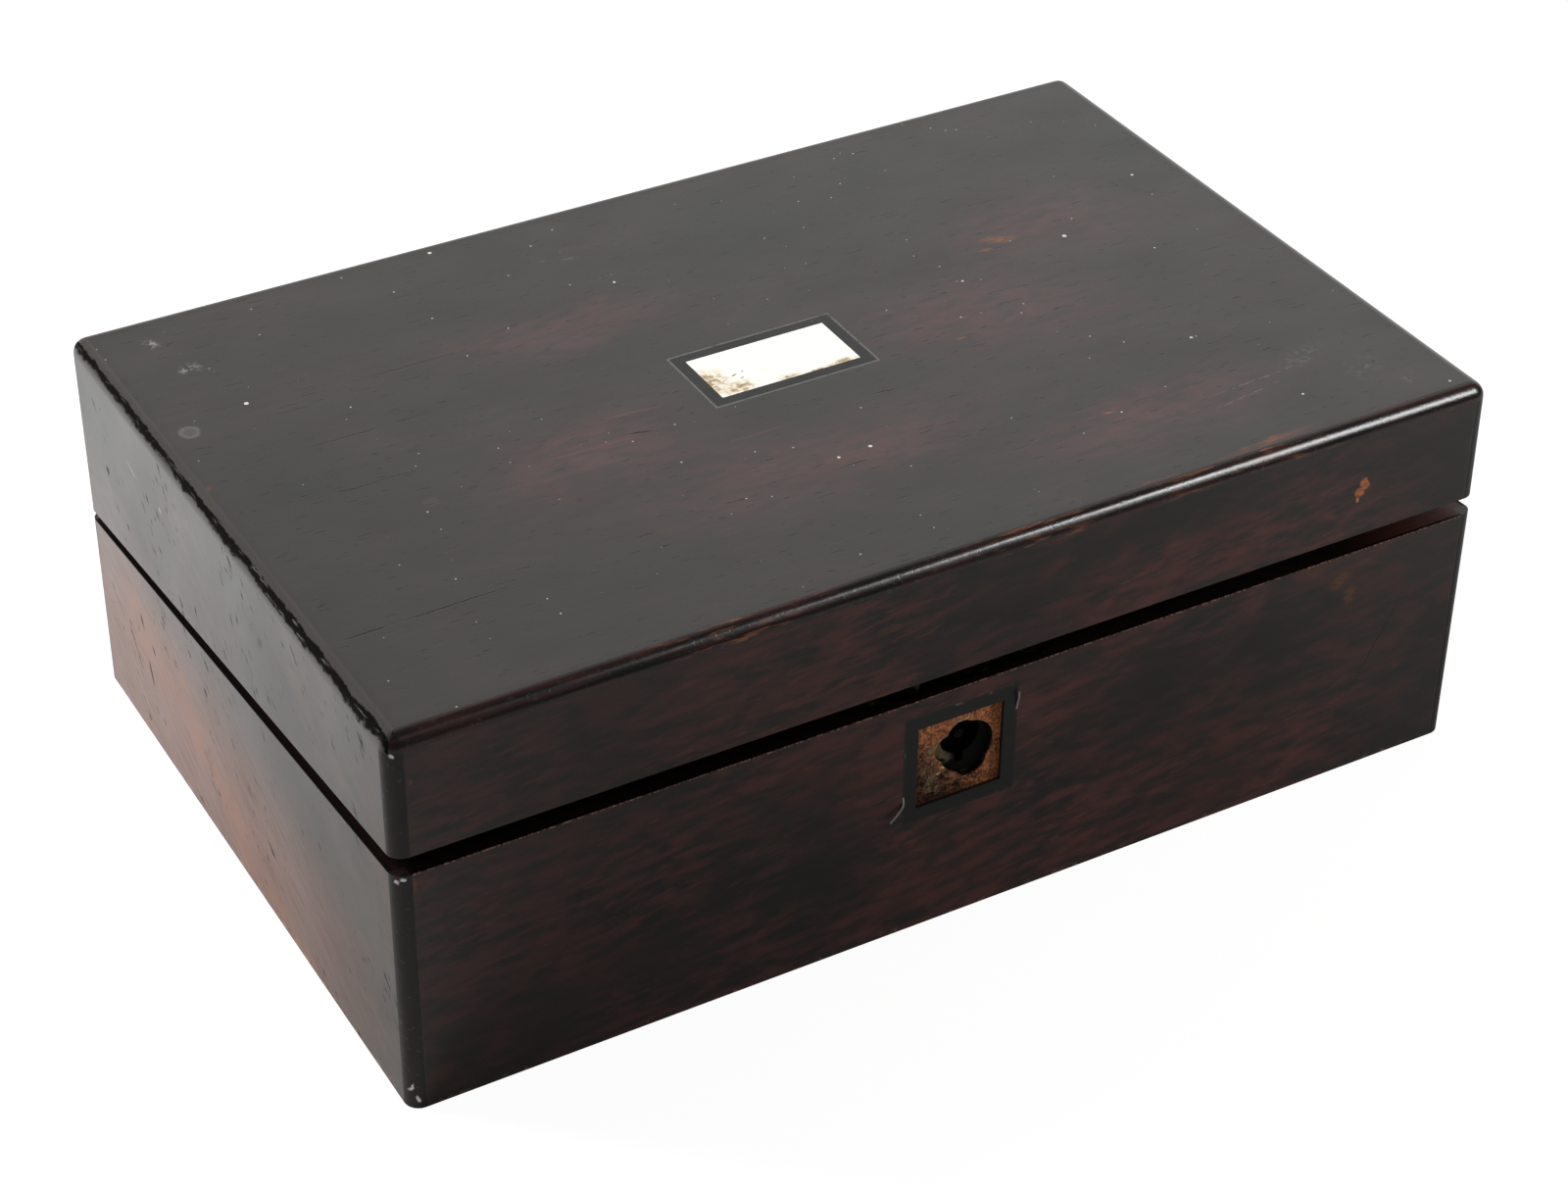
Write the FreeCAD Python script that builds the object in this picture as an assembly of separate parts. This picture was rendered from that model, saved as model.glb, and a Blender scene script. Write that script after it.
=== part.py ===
import FreeCAD, Part
import math
import os
from FreeCAD import Placement, Rotation, Vector

# Folding writing box (portable writing slope), standing on its base with the lid left ajar.
# Millimetres. X runs along the width, the lock side faces -Y, Z is up, origin under the middle.

# Overall sizes
WIDTH = 305.0
DEPTH = 197.0
HINGE_SIDE_HEIGHT = 52.4
LOCK_SIDE_HEIGHT = 71.3
SEAM = 2.5
LID_AJAR = 0.72
CLOSING_TRAVEL = 1.3

# Carcase
BOARD = 9.0
VENEER = 1.0
BOTTOM = 6.0
TOP = 7.0
ROUND = 4.0

# Name plate and the thin metal strings let into the veneer
PLATE_LENGTH = 40.0
PLATE_WIDTH = 19.6
PLATE_STRING_LENGTH = 47.6
PLATE_STRING_WIDTH = 27.0
STRING = 0.6

# Lock, its keyhole and the place of its missing escutcheon
LOCK_X = -3.0
ESCUTCHEON = 24.4
ESCUTCHEON_DROP = 21.0
RECESS_DEPTH = 2.0
LOCK_STRING = 32.4
KEYHOLE_DROP = 17.9
KEY_OFFSET = 2.0
SELVEDGE_END = 7.0
SELVEDGE_SETBACK = 2.4
SELVEDGE = 1.5
CASE_WIDTH = 38.0
CASE_HEIGHT = 27.0
CASE_DEPTH = 5.4
CASE_WALL = 0.8
BACK_PLATE = 1.0
BACK_PLATE_FLANGE = 5.5
BACK_PLATE_HEIGHT = 31.0
KEYHOLE_RADIUS = 5.6
KEYHOLE_SLOT = 2.4
KEYHOLE_SLOT_LENGTH = 8.4
DRILL_PIN_RADIUS = 1.3
HOOK_SPREAD = 20.0
HOOK = 1.8
HOOK_WIDTH = 3.4
HOOK_LENGTH = 10.0
HOOK_BAR = 1.5
HOOK_WINDOW = 4.5
HOOK_SIDE = 0.7
BOLT = 1.2
BOLT_BAR = 5.0
BOLT_TRAVEL = 4.0
FINGER = 2.0
FINGER_LENGTH = 4.6
FINGER_POST = 2.0
TALON_RADIUS = 2.4
RAIL = 2.0
RAIL_LENGTH = 9.0

# The rough hole for the key, opened with several bores: offsets from the drill pin, and radius
KEY_BORES = ((1.2, -3.0, 7.6), (-4.0, -1.8, 4.0), (2.4, -7.8, 4.6), (-0.4, 1.2, 4.2))

# Butt hinges at the back
HINGE_LENGTH = 38.0
HINGE_SPREAD = 190.0
LEAF = 1.1
LEAF_WIDTH = 8.6
KNUCKLE_RADIUS = 2.0
PIN_RADIUS = 1.0
AXIS_SETBACK = 0.6
HINGE_SCREW_SPREAD = 24.0

# Countersunk screws
SCREW_HEAD_RADIUS = 2.2
SCREW_HEAD = 1.0
SCREW_RADIUS = 1.1
SCREW_LENGTH = 7.0
SCREW_SLOT = 0.6
SCREW_SLOT_DEPTH = 0.4

# Writing flaps
FLAP = 6.0
FLAP_DROP = 1.0
FLAP_EDGE = 0.8
FLAP_REST = 1.8
FLAP_PIN_RADIUS = 1.5
FLAP_PIN_SEAT = 4.0
FLAP_PIN_GRIP = 8.0
LEATHER = 0.6
LEATHER_BORDER = 12.0
TAB_WIDTH = 14.0
TAB_LENGTH = 16.0
TAB = 0.7
TAB_OVERHANG = 6.0

# Inside the base
PEN_STRIP = 50.0
PARTITION = 5.0
DIVIDER = 4.0
TRAY_LENGTH = 164.0
TRAY = 16.0
TRAY_TOP = 44.0
DISH_RADIUS = 38.0
DISH_DEPTH = 9.0
DISH_RIM = 6.0
BEARER = 8.0
LEDGE = 6.0

# Clearances
RUNNING_FIT = 0.05
SLIDING_FIT = 0.25
KNUCKLE_GAP = 0.15
GAIN_GAP = 0.3
HOOK_GAP = 0.4
HOOK_SLOT_GAP = 0.6
FINGER_GAP = 0.35

# Derived places
HALF_WIDTH = WIDTH / 2
HALF_DEPTH = DEPTH / 2
WALL = BOARD + VENEER
INNER_X = HALF_WIDTH - WALL
INNER_Y = HALF_DEPTH - WALL
SLOPE = math.atan2(LOCK_SIDE_HEIGHT - HINGE_SIDE_HEIGHT, DEPTH)
RIM_ORIGIN = Vector(0, HALF_DEPTH, HINGE_SIDE_HEIGHT)
RIM_PLACE = Placement(RIM_ORIGIN, Rotation(Vector(1, 0, 0), -math.degrees(SLOPE)))
HINGE_Y = AXIS_SETBACK
HINGE_Z = SEAM / 2
HINGE_AXIS = RIM_PLACE.multVec(Vector(0, HINGE_Y, HINGE_Z))
LID_TOP = 2 * HINGE_AXIS.z
TALL = LOCK_SIDE_HEIGHT + LID_TOP
FLAP_AXIS_Y = -WALL / math.cos(SLOPE) - FLAP_EDGE - FLAP / 2
LEDGE_TOP = -FLAP_DROP - FLAP - FLAP_REST
PARTITION_FRONT = -INNER_Y + PEN_STRIP
PARTITION_BACK = PARTITION_FRONT + PARTITION


def block(x0, x1, y0, y1, z0, z1):
    return Part.makeBox(x1 - x0, y1 - y0, z1 - z0, Vector(x0, y0, z0))


def between(a, b):
    return (min(a, b), max(a, b))


def on_rim(shape):
    """Take a shape drawn on a level rim (y=0 at its back edge, z=0 on it) to the sloping rim."""
    placed = shape.copy()
    placed.Placement = RIM_PLACE.multiply(placed.Placement)
    return placed


def mirrored_to_lid(shape):
    """Mirror a shape drawn on the level rim across the middle of the seam, from the base to the lid."""
    return shape.mirror(Vector(0, 0, SEAM / 2), Vector(0, 0, 1))


def rim_height(y):
    return HINGE_SIDE_HEIGHT + (HALF_DEPTH - y) * math.tan(SLOPE)


def along_rim(y):
    """The distance along the rim, from its back edge, of a point at depth y."""
    return (y - HALF_DEPTH) / math.cos(SLOPE)


def x_cylinder(radius, x0, x1, y, z):
    return Part.makeCylinder(radius, x1 - x0, Vector(x0, y, z), Vector(1, 0, 0))


def screw(slotted=True):
    """A countersunk screw with its head flush at z=0, pointing down."""
    head = Part.makeCone(SCREW_HEAD_RADIUS, SCREW_RADIUS, SCREW_HEAD, Vector(0, 0, 0), Vector(0, 0, -1))
    shank = Part.makeCylinder(SCREW_RADIUS, SCREW_LENGTH, Vector(0, 0, -SCREW_HEAD), Vector(0, 0, -1))
    whole = head.fuse(shank).removeSplitter()
    if not slotted:
        return whole
    reach = 2 * SCREW_HEAD_RADIUS
    slot = block(-reach, reach, -SCREW_SLOT / 2, SCREW_SLOT / 2, -SCREW_SLOT_DEPTH, SCREW_HEAD)
    return whole.cut(slot)


def moved(shape, x, y, z):
    placed = shape.copy()
    placed.translate(Vector(x, y, z))
    return placed


def cut_all(shape, tools):
    for tool in tools:
        shape = shape.cut(tool)
    return shape


def group(shapes):
    return Part.makeCompound(shapes)


BELOW_RIM = on_rim(block(-WIDTH, WIDTH, -2 * DEPTH, DEPTH, -2 * TALL, 0))
ABOVE_SEAM = on_rim(block(-WIDTH, WIDTH, -2 * DEPTH, DEPTH, SEAM, 2 * TALL))
BELOW_FLAP = on_rim(block(-WIDTH, WIDTH, -2 * DEPTH, DEPTH, -2 * TALL, LEDGE_TOP))
BELOW_SELVEDGE = on_rim(block(-WIDTH, WIDTH, -2 * DEPTH, DEPTH, -2 * TALL, -SELVEDGE))


def outer_box(height, round_top):
    """The outside of the box, with its upright edges, and on the lid its top edges, rounded."""
    box = block(-HALF_WIDTH, HALF_WIDTH, -HALF_DEPTH, HALF_DEPTH, 0, height)
    edges = []
    for edge in box.Edges:
        low = edge.BoundBox.ZMin
        upright = edge.BoundBox.ZLength > height / 2
        if upright or (round_top and low > height / 2):
            edges.append(edge)
    return box.makeFillet(ROUND, edges)


def corner_columns(z0, z1):
    columns = []
    for sx in (-1, 1):
        for sy in (-1, 1):
            xs = between(sx * (HALF_WIDTH - ROUND), sx * HALF_WIDTH)
            ys = between(sy * (HALF_DEPTH - ROUND), sy * HALF_DEPTH)
            columns.append(block(*xs, *ys, z0, z1))
    return columns


COLUMNS = corner_columns(0, TALL)


def wall_boards(side, top):
    """Four boards of the base or the lid: the front and back run through, the ends stand between them."""
    half_x = HALF_WIDTH - VENEER
    outer_y = HALF_DEPTH - VENEER
    raw = {
        "front_board": block(-half_x, half_x, -outer_y, -INNER_Y, 0, top),
        "back_board": block(-half_x, half_x, INNER_Y, outer_y, 0, top),
        "left_end": block(-half_x, -INNER_X, -INNER_Y, INNER_Y, 0, top),
        "right_end": block(INNER_X, half_x, -INNER_Y, INNER_Y, 0, top),
    }
    boards = {}
    for name, shape in raw.items():
        boards[name] = cut_all(shape.common(side), COLUMNS)
    return boards


def wall_veneers(side, top):
    """The veneer on the four outer faces, which stops at the rounded corner beads."""
    x_reach = HALF_WIDTH - ROUND
    y_reach = HALF_DEPTH - ROUND
    raw = {
        "front_veneer": block(-x_reach, x_reach, -HALF_DEPTH, -HALF_DEPTH + VENEER, 0, top),
        "back_veneer": block(-x_reach, x_reach, HALF_DEPTH - VENEER, HALF_DEPTH, 0, top),
        "left_veneer": block(-HALF_WIDTH, -HALF_WIDTH + VENEER, -y_reach, y_reach, 0, top),
        "right_veneer": block(HALF_WIDTH - VENEER, HALF_WIDTH, -y_reach, y_reach, 0, top),
    }
    return {name: shape.common(side) for name, shape in raw.items()}


def string_frame(length, width):
    """Four mitred metal strips round a rectangle, as deep as the veneer below z=0, outside size given."""
    x = length / 2
    y = width / 2
    corners = [(-x, -y), (x, -y), (x, y), (-x, y)]
    near_x = x - STRING
    near_y = y - STRING
    inner = [(-near_x, -near_y), (near_x, -near_y), (near_x, near_y), (-near_x, near_y)]
    strips = []
    for i in range(4):
        j = (i + 1) % 4
        outline = [corners[i], corners[j], inner[j], inner[i]]
        points = [Vector(px, py, -VENEER) for px, py in outline]
        face = Part.Face(Part.makePolygon(points + points[:1]))
        strips.append(face.extrude(Vector(0, 0, VENEER)))
    return strips


def hinge_x_places():
    return (-HINGE_SPREAD / 2, HINGE_SPREAD / 2)


def hinge_parts():
    """Butt hinges on the level rim: leaves on both rims, three knuckles and a pin each."""
    base_leaves = []
    lid_leaves = []
    pins = []
    third = HINGE_LENGTH / 3
    for x in hinge_x_places():
        ends = [x - HINGE_LENGTH / 2, x - third / 2, x + third / 2, x + HINGE_LENGTH / 2]
        knuckles = []
        for i in range(3):
            near = ends[i] + (KNUCKLE_GAP / 2 if i else 0)
            far = ends[i + 1] - (KNUCKLE_GAP / 2 if i < 2 else 0)
            knuckles.append(x_cylinder(KNUCKLE_RADIUS, near, far, HINGE_Y, HINGE_Z))
        plate = block(ends[0], ends[3], -LEAF_WIDTH, HINGE_Y, 0, LEAF)
        lid_plate = mirrored_to_lid(plate)
        room = KNUCKLE_RADIUS + KNUCKLE_GAP
        middle = x_cylinder(room, ends[1] - KNUCKLE_GAP / 2, ends[2] + KNUCKLE_GAP / 2, HINGE_Y, HINGE_Z)
        outer = [
            x_cylinder(room, ends[0], ends[1] + KNUCKLE_GAP / 2, HINGE_Y, HINGE_Z),
            x_cylinder(room, ends[2] - KNUCKLE_GAP / 2, ends[3], HINGE_Y, HINGE_Z),
        ]
        pin = x_cylinder(PIN_RADIUS, ends[0], ends[3], HINGE_Y, HINGE_Z)
        bore = x_cylinder(PIN_RADIUS + RUNNING_FIT, ends[0], ends[3], HINGE_Y, HINGE_Z)
        base_leaf = plate.cut(middle).fuse(knuckles[0]).fuse(knuckles[2]).cut(pin)
        lid_leaf = cut_all(lid_plate, outer).fuse(knuckles[1]).cut(bore)
        base_leaves.append(base_leaf.removeSplitter())
        lid_leaves.append(lid_leaf.removeSplitter())
        pins.append(pin)
    return base_leaves, lid_leaves, pins


def hinge_screw_places():
    places = []
    for x in hinge_x_places():
        for step in (-0.5, 0, 0.5):
            places.append((x + step * HINGE_SCREW_SPREAD, -(LEAF_WIDTH + KNUCKLE_RADIUS) / 2, LEAF))
    return places


def hinge_gains():
    """The room for the knuckles in the back edges of both rims."""
    gains = []
    for x in hinge_x_places():
        half = HINGE_LENGTH / 2 + GAIN_GAP
        gains.append(on_rim(x_cylinder(KNUCKLE_RADIUS + GAIN_GAP, x - half, x + half, HINGE_Y, HINGE_Z)))
    return gains


def lid_gap(angle, y):
    """The upright gap between the rims at depth y, with the lid turned by an angle from parallel."""
    return SEAM / math.cos(SLOPE) + (HINGE_AXIS.y - y) * math.tan(math.radians(angle))


# Places in the lock
BACK_PLATE_FRONT = -INNER_Y - BACK_PLATE
CASE_FRONT = BACK_PLATE_FRONT - CASE_DEPTH
CASE_TOP = rim_height(-INNER_Y) - SELVEDGE / math.cos(SLOPE)
HOOK_Y = BACK_PLATE_FRONT - (CASE_DEPTH - CASE_WALL) / 2
HOOK_RIM = rim_height(HOOK_Y)
HOOK_FOOT = HOOK_RIM + lid_gap(LID_AJAR - CLOSING_TRAVEL, HOOK_Y) - HOOK_LENGTH
FINGER_BOTTOM = HOOK_FOOT + HOOK_BAR + FINGER_GAP
BAR_TOP = HOOK_FOOT - FINGER_GAP
BAR_BOTTOM = BAR_TOP - BOLT_BAR
KEY_X = LOCK_X + KEY_OFFSET
KEY_Z = LOCK_SIDE_HEIGHT - KEYHOLE_DROP
ESCUTCHEON_Z = LOCK_SIDE_HEIGHT - ESCUTCHEON_DROP
SELVEDGE_FRONT = -HALF_DEPTH + SELVEDGE_SETBACK
SELVEDGE_MIDDLE = along_rim((SELVEDGE_FRONT - INNER_Y) / 2)
SELVEDGE_HALF = CASE_WIDTH / 2 + SELVEDGE_END
SELVEDGE_SCREW_X = CASE_WIDTH / 2 + SELVEDGE_END / 2
BACK_PLATE_HALF = CASE_WIDTH / 2 + BACK_PLATE_FLANGE
PLATE_SCREW_X = CASE_WIDTH / 2 + BACK_PLATE_FLANGE / 2
PLATE_SCREW_Z = CASE_TOP - BACK_PLATE_HEIGHT * 2 / 3
HOOK_XS = (LOCK_X - HOOK_SPREAD / 2, LOCK_X + HOOK_SPREAD / 2)


def selvedge_plate():
    """The strip let into a rim on the lock side, drawn on the level rim."""
    xs = (LOCK_X - SELVEDGE_HALF, LOCK_X + SELVEDGE_HALF)
    return block(*xs, along_rim(SELVEDGE_FRONT), along_rim(-INNER_Y), -SELVEDGE, 0)


def selvedge_screw_places():
    return [(LOCK_X + side * SELVEDGE_SCREW_X, SELVEDGE_MIDDLE, 0) for side in (-1, 1)]


def back_plate_screws(slotted=True):
    screws = []
    for side in (-1, 1):
        one = screw(slotted)
        one.rotate(Vector(0, 0, 0), Vector(1, 0, 0), -90)
        screws.append(moved(one, LOCK_X + side * PLATE_SCREW_X, -INNER_Y, PLATE_SCREW_Z))
    return screws


def lock_block():
    """The room of the lock case in the front board, up to the underside of the selvedge."""
    half = CASE_WIDTH / 2
    low = CASE_TOP - CASE_HEIGHT
    room = block(LOCK_X - half, LOCK_X + half, CASE_FRONT, BACK_PLATE_FRONT, low, TALL)
    return room.common(BELOW_SELVEDGE)


def lock_case():
    """The brass cup round the works, open at its top and back, with the keyhole in its front."""
    half = CASE_WIDTH / 2 - CASE_WALL
    floor = CASE_TOP - CASE_HEIGHT + CASE_WALL
    hollow = block(LOCK_X - half, LOCK_X + half, CASE_FRONT + CASE_WALL, 0, floor, TALL)
    through = Vector(0, 1, 0)
    start = Vector(KEY_X, CASE_FRONT - CASE_WALL, KEY_Z)
    keyhole = Part.makeCylinder(KEYHOLE_RADIUS, CASE_DEPTH, start, through)
    slot = block(
        KEY_X - KEYHOLE_SLOT / 2,
        KEY_X + KEYHOLE_SLOT / 2,
        CASE_FRONT - CASE_WALL,
        BACK_PLATE_FRONT,
        KEY_Z - KEYHOLE_SLOT_LENGTH,
        KEY_Z,
    )
    return cut_all(lock_block(), [hollow, keyhole, slot])


def back_plate_block():
    xs = (LOCK_X - BACK_PLATE_HALF, LOCK_X + BACK_PLATE_HALF)
    return block(*xs, BACK_PLATE_FRONT, -INNER_Y, CASE_TOP - BACK_PLATE_HEIGHT, CASE_TOP)


def lock_back_plate():
    """The plate that closes the lock, with two rails that the bolt slides on."""
    plate = back_plate_block()
    outer = CASE_WIDTH / 2 - CASE_WALL - SLIDING_FIT
    rail_top = BAR_BOTTOM - SLIDING_FIT
    for side in (-1, 1):
        xs = between(LOCK_X + side * outer, LOCK_X + side * (outer - RAIL_LENGTH))
        plate = plate.fuse(block(*xs, HOOK_Y - BOLT / 2, BACK_PLATE_FRONT, rail_top - RAIL, rail_top))
    return cut_all(plate.removeSplitter(), back_plate_screws(slotted=False))


def drill_pin():
    foot = Vector(KEY_X, BACK_PLATE_FRONT, KEY_Z)
    return Part.makeCylinder(DRILL_PIN_RADIUS, CASE_DEPTH - CASE_WALL / 2, foot, Vector(0, -1, 0))


def bolt():
    """The sliding bolt: a bar with two fingers that enter the windows of the hooks, shown drawn back."""
    ys = (HOOK_Y - BOLT / 2, HOOK_Y + BOLT / 2)
    left = LOCK_X - CASE_WIDTH / 2 + CASE_WALL + SLIDING_FIT
    right = LOCK_X + CASE_WIDTH / 2 - CASE_WALL - SLIDING_FIT - BOLT_TRAVEL
    shape = block(left, right, *ys, BAR_BOTTOM, BAR_TOP)
    for x in HOOK_XS:
        tip = x - HOOK / 2 - HOOK_GAP
        root = tip - FINGER_LENGTH
        post = max(root - FINGER_POST, left)
        shape = shape.fuse(block(root, tip, *ys, FINGER_BOTTOM, FINGER_BOTTOM + FINGER))
        shape = shape.fuse(block(post, root, *ys, BAR_TOP, FINGER_BOTTOM + FINGER))
    notch = Vector(KEY_X, CASE_FRONT, BAR_BOTTOM)
    talon = Part.makeCylinder(TALON_RADIUS, CASE_DEPTH, notch, Vector(0, 1, 0))
    return shape.removeSplitter().cut(talon)


def hook_slots():
    """The slots in the selvedge that the hooks drop through."""
    slots = []
    for x in HOOK_XS:
        half = HOOK / 2 + HOOK_SLOT_GAP
        deep = HOOK_WIDTH / 2 + HOOK_SLOT_GAP
        slots.append(block(x - half, x + half, HOOK_Y - deep, HOOK_Y + deep, CASE_TOP - SELVEDGE, TALL))
    return slots


def lid_rotated(shape):
    """Take a piece drawn with the rims parallel to where the ajar lid holds it."""
    placed = shape.copy()
    placed.rotate(HINGE_AXIS, Vector(-1, 0, 0), LID_AJAR)
    return placed


def hooks():
    """Two flat loops under the link plate, upright when the lid is shut, drawn with the rims parallel."""
    loops = []
    top = HOOK_FOOT + HOOK_LENGTH
    for x in HOOK_XS:
        xs = (x - HOOK / 2, x + HOOK / 2)
        loop = block(*xs, HOOK_Y - HOOK_WIDTH / 2, HOOK_Y + HOOK_WIDTH / 2, HOOK_FOOT, top + SELVEDGE)
        half = HOOK_WIDTH / 2 - HOOK_SIDE
        window_low = HOOK_FOOT + HOOK_BAR
        loop = loop.cut(block(*xs, HOOK_Y - half, HOOK_Y + half, window_low, window_low + HOOK_WINDOW))
        loop.rotate(HINGE_AXIS, Vector(-1, 0, 0), CLOSING_TRAVEL - LID_AJAR)
        loops.append(loop.cut(ABOVE_SEAM))
    return loops


def flap_panel(front, tab_hangs_over):
    """A writing flap on the level rim: a board with a rounded edge on its pins and a bed for the leather."""
    half = INNER_X - FLAP_EDGE
    top = -FLAP_DROP
    axis_z = top - FLAP / 2
    panel = block(-half, half, front, FLAP_AXIS_Y, top - FLAP, top)
    panel = panel.fuse(x_cylinder(FLAP / 2, -half, half, FLAP_AXIS_Y, axis_z)).removeSplitter()
    leather = block(
        -half + LEATHER_BORDER,
        half - LEATHER_BORDER,
        front + LEATHER_BORDER,
        FLAP_AXIS_Y - LEATHER_BORDER,
        top - LEATHER,
        top,
    )
    pins = []
    for side in (-1, 1):
        xs = between(side * (half - FLAP_PIN_GRIP), side * (INNER_X + FLAP_PIN_SEAT))
        pins.append(x_cylinder(FLAP_PIN_RADIUS, *xs, FLAP_AXIS_Y, axis_z))
    tab_front = front - (TAB_OVERHANG if tab_hangs_over else 0)
    tab = block(-TAB_WIDTH / 2, TAB_WIDTH / 2, tab_front, tab_front + TAB_LENGTH, top, top + TAB)
    return cut_all(panel.cut(leather), pins), leather, pins, tab


def flap_pin_holes(mirrored):
    seat = INNER_X + FLAP_PIN_SEAT + RUNNING_FIT
    hole = x_cylinder(FLAP_PIN_RADIUS + RUNNING_FIT, -seat, seat, FLAP_AXIS_Y, -FLAP_DROP - FLAP / 2)
    return on_rim(mirrored_to_lid(hole) if mirrored else hole)


def flap_ledges(mirrored, room):
    """Strips on the end boards that a closed flap comes to rest on."""
    strips = []
    for side in (-1, 1):
        xs = between(side * INNER_X, side * (INNER_X - LEDGE))
        strip = block(*xs, -2 * DEPTH, 0, LEDGE_TOP - LEDGE, LEDGE_TOP)
        strip = on_rim(mirrored_to_lid(strip) if mirrored else strip)
        strips.append(strip.common(room))
    return strips


def pen_tray():
    """A dished tray for pens, between the two ink wells."""
    half = TRAY_LENGTH / 2
    body = block(-half, half, -INNER_Y, PARTITION_FRONT, TRAY_TOP - TRAY, TRAY_TOP)
    middle = (PARTITION_FRONT - INNER_Y) / 2
    axis_z = TRAY_TOP + DISH_RADIUS - DISH_DEPTH
    dish = x_cylinder(DISH_RADIUS, -half + DISH_RIM, half - DISH_RIM, middle, axis_z)
    return body.cut(dish)


def front_square(side, deep):
    """A square block let into the front face round the middle of the escutcheon."""
    half = side / 2
    xs = (LOCK_X - half, LOCK_X + half)
    return block(*xs, -HALF_DEPTH, -HALF_DEPTH + deep, ESCUTCHEON_Z - half, ESCUTCHEON_Z + half)


def top_panel(length, width):
    """A rectangle of the lid's veneer round the middle of the lid."""
    return block(-length / 2, length / 2, -width / 2, width / 2, LID_TOP - VENEER, LID_TOP)


def key_bores():
    """The overlapping bores of the rough hole that the key goes through."""
    bores = []
    for dx, dz, radius in KEY_BORES:
        start = Vector(KEY_X + dx, -HALF_DEPTH, KEY_Z + dz)
        bores.append(Part.makeCylinder(radius, WALL, start, Vector(0, 1, 0)))
    return bores


parts = {}

# Hinges
base_leaves, lid_leaves, hinge_pins = hinge_parts()
plain_screw = screw(slotted=False)
hinge_screws = [moved(screw(), *place) for place in hinge_screw_places()]
hinge_screw_holes = [moved(plain_screw, *place) for place in hinge_screw_places()]
base_screw_holes = [on_rim(hole) for hole in hinge_screw_holes]
lid_screw_holes = [on_rim(mirrored_to_lid(hole)) for hole in hinge_screw_holes]
parts["hinge_base_leaves"] = group([cut_all(on_rim(leaf), base_screw_holes) for leaf in base_leaves])
parts["hinge_pins"] = group([on_rim(pin) for pin in hinge_pins])
parts["hinge_base_screws"] = group([on_rim(one) for one in hinge_screws])
lid_leaf_group = group([cut_all(on_rim(leaf), lid_screw_holes) for leaf in lid_leaves])
parts["hinge_lid_leaves"] = lid_rotated(lid_leaf_group)
parts["hinge_lid_screws"] = lid_rotated(group([on_rim(mirrored_to_lid(one)) for one in hinge_screws]))

# Lock
rim_screws = [on_rim(moved(screw(), *place)) for place in selvedge_screw_places()]
rim_screw_holes = [on_rim(moved(plain_screw, *place)) for place in selvedge_screw_places()]
selvedge = on_rim(selvedge_plate())
parts["lock_selvedge"] = cut_all(selvedge, rim_screw_holes + hook_slots())
parts["lock_case"] = lock_case()
parts["lock_back_plate"] = lock_back_plate()
parts["lock_drill_pin"] = drill_pin()
parts["lock_bolt"] = bolt()
parts["lock_screws"] = group(rim_screws + back_plate_screws())

# Link plate with its hooks, let into the rim of the lid
link_screws = [on_rim(mirrored_to_lid(moved(screw(), *place))) for place in selvedge_screw_places()]
link_holes = [on_rim(mirrored_to_lid(moved(plain_screw, *place))) for place in selvedge_screw_places()]
link_plate = on_rim(mirrored_to_lid(selvedge_plate()))
parts["link_plate"] = lid_rotated(cut_all(link_plate, link_holes))
parts["link_hooks"] = lid_rotated(group(hooks()))
parts["link_screws"] = lid_rotated(group(link_screws))

# Base carcase
escutcheon_recess = front_square(ESCUTCHEON, RECESS_DEPTH)
lock_panel = front_square(LOCK_STRING, VENEER)
lock_surround = front_square(LOCK_STRING - 2 * STRING, VENEER)
lock_string_strips = []
for strip in string_frame(LOCK_STRING, LOCK_STRING):
    strip.rotate(Vector(0, 0, 0), Vector(1, 0, 0), 90)
    lock_string_strips.append(moved(strip, LOCK_X, -HALF_DEPTH, ESCUTCHEON_Z))
base_boards = wall_boards(BELOW_RIM, TALL)
base_veneers = wall_veneers(BELOW_RIM, TALL)
gains = hinge_gains()
lock_cuts = [selvedge, lock_block(), back_plate_block(), escutcheon_recess]
lock_cuts = lock_cuts + key_bores() + rim_screw_holes + back_plate_screws(slotted=False)
base_boards["front_board"] = cut_all(base_boards["front_board"], lock_cuts)
base_boards["back_board"] = cut_all(base_boards["back_board"], gains + base_screw_holes)
for end in ("left_end", "right_end"):
    base_boards[end] = base_boards[end].cut(flap_pin_holes(mirrored=False))
base_veneers["front_veneer"] = base_veneers["front_veneer"].cut(lock_panel)
base_veneers["back_veneer"] = cut_all(base_veneers["back_veneer"], gains)
for name, shape in {**base_boards, **base_veneers}.items():
    parts["base_" + name] = shape
parts["base_bottom_board"] = block(-INNER_X, INNER_X, -INNER_Y, INNER_Y, 0, BOTTOM)
base_outside = outer_box(TALL, round_top=False).common(BELOW_RIM)
parts["base_corner_beads"] = group([column.common(base_outside) for column in COLUMNS])
parts["lock_stringing"] = group(lock_string_strips)
parts["lock_surround"] = lock_surround.cut(escutcheon_recess)

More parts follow.
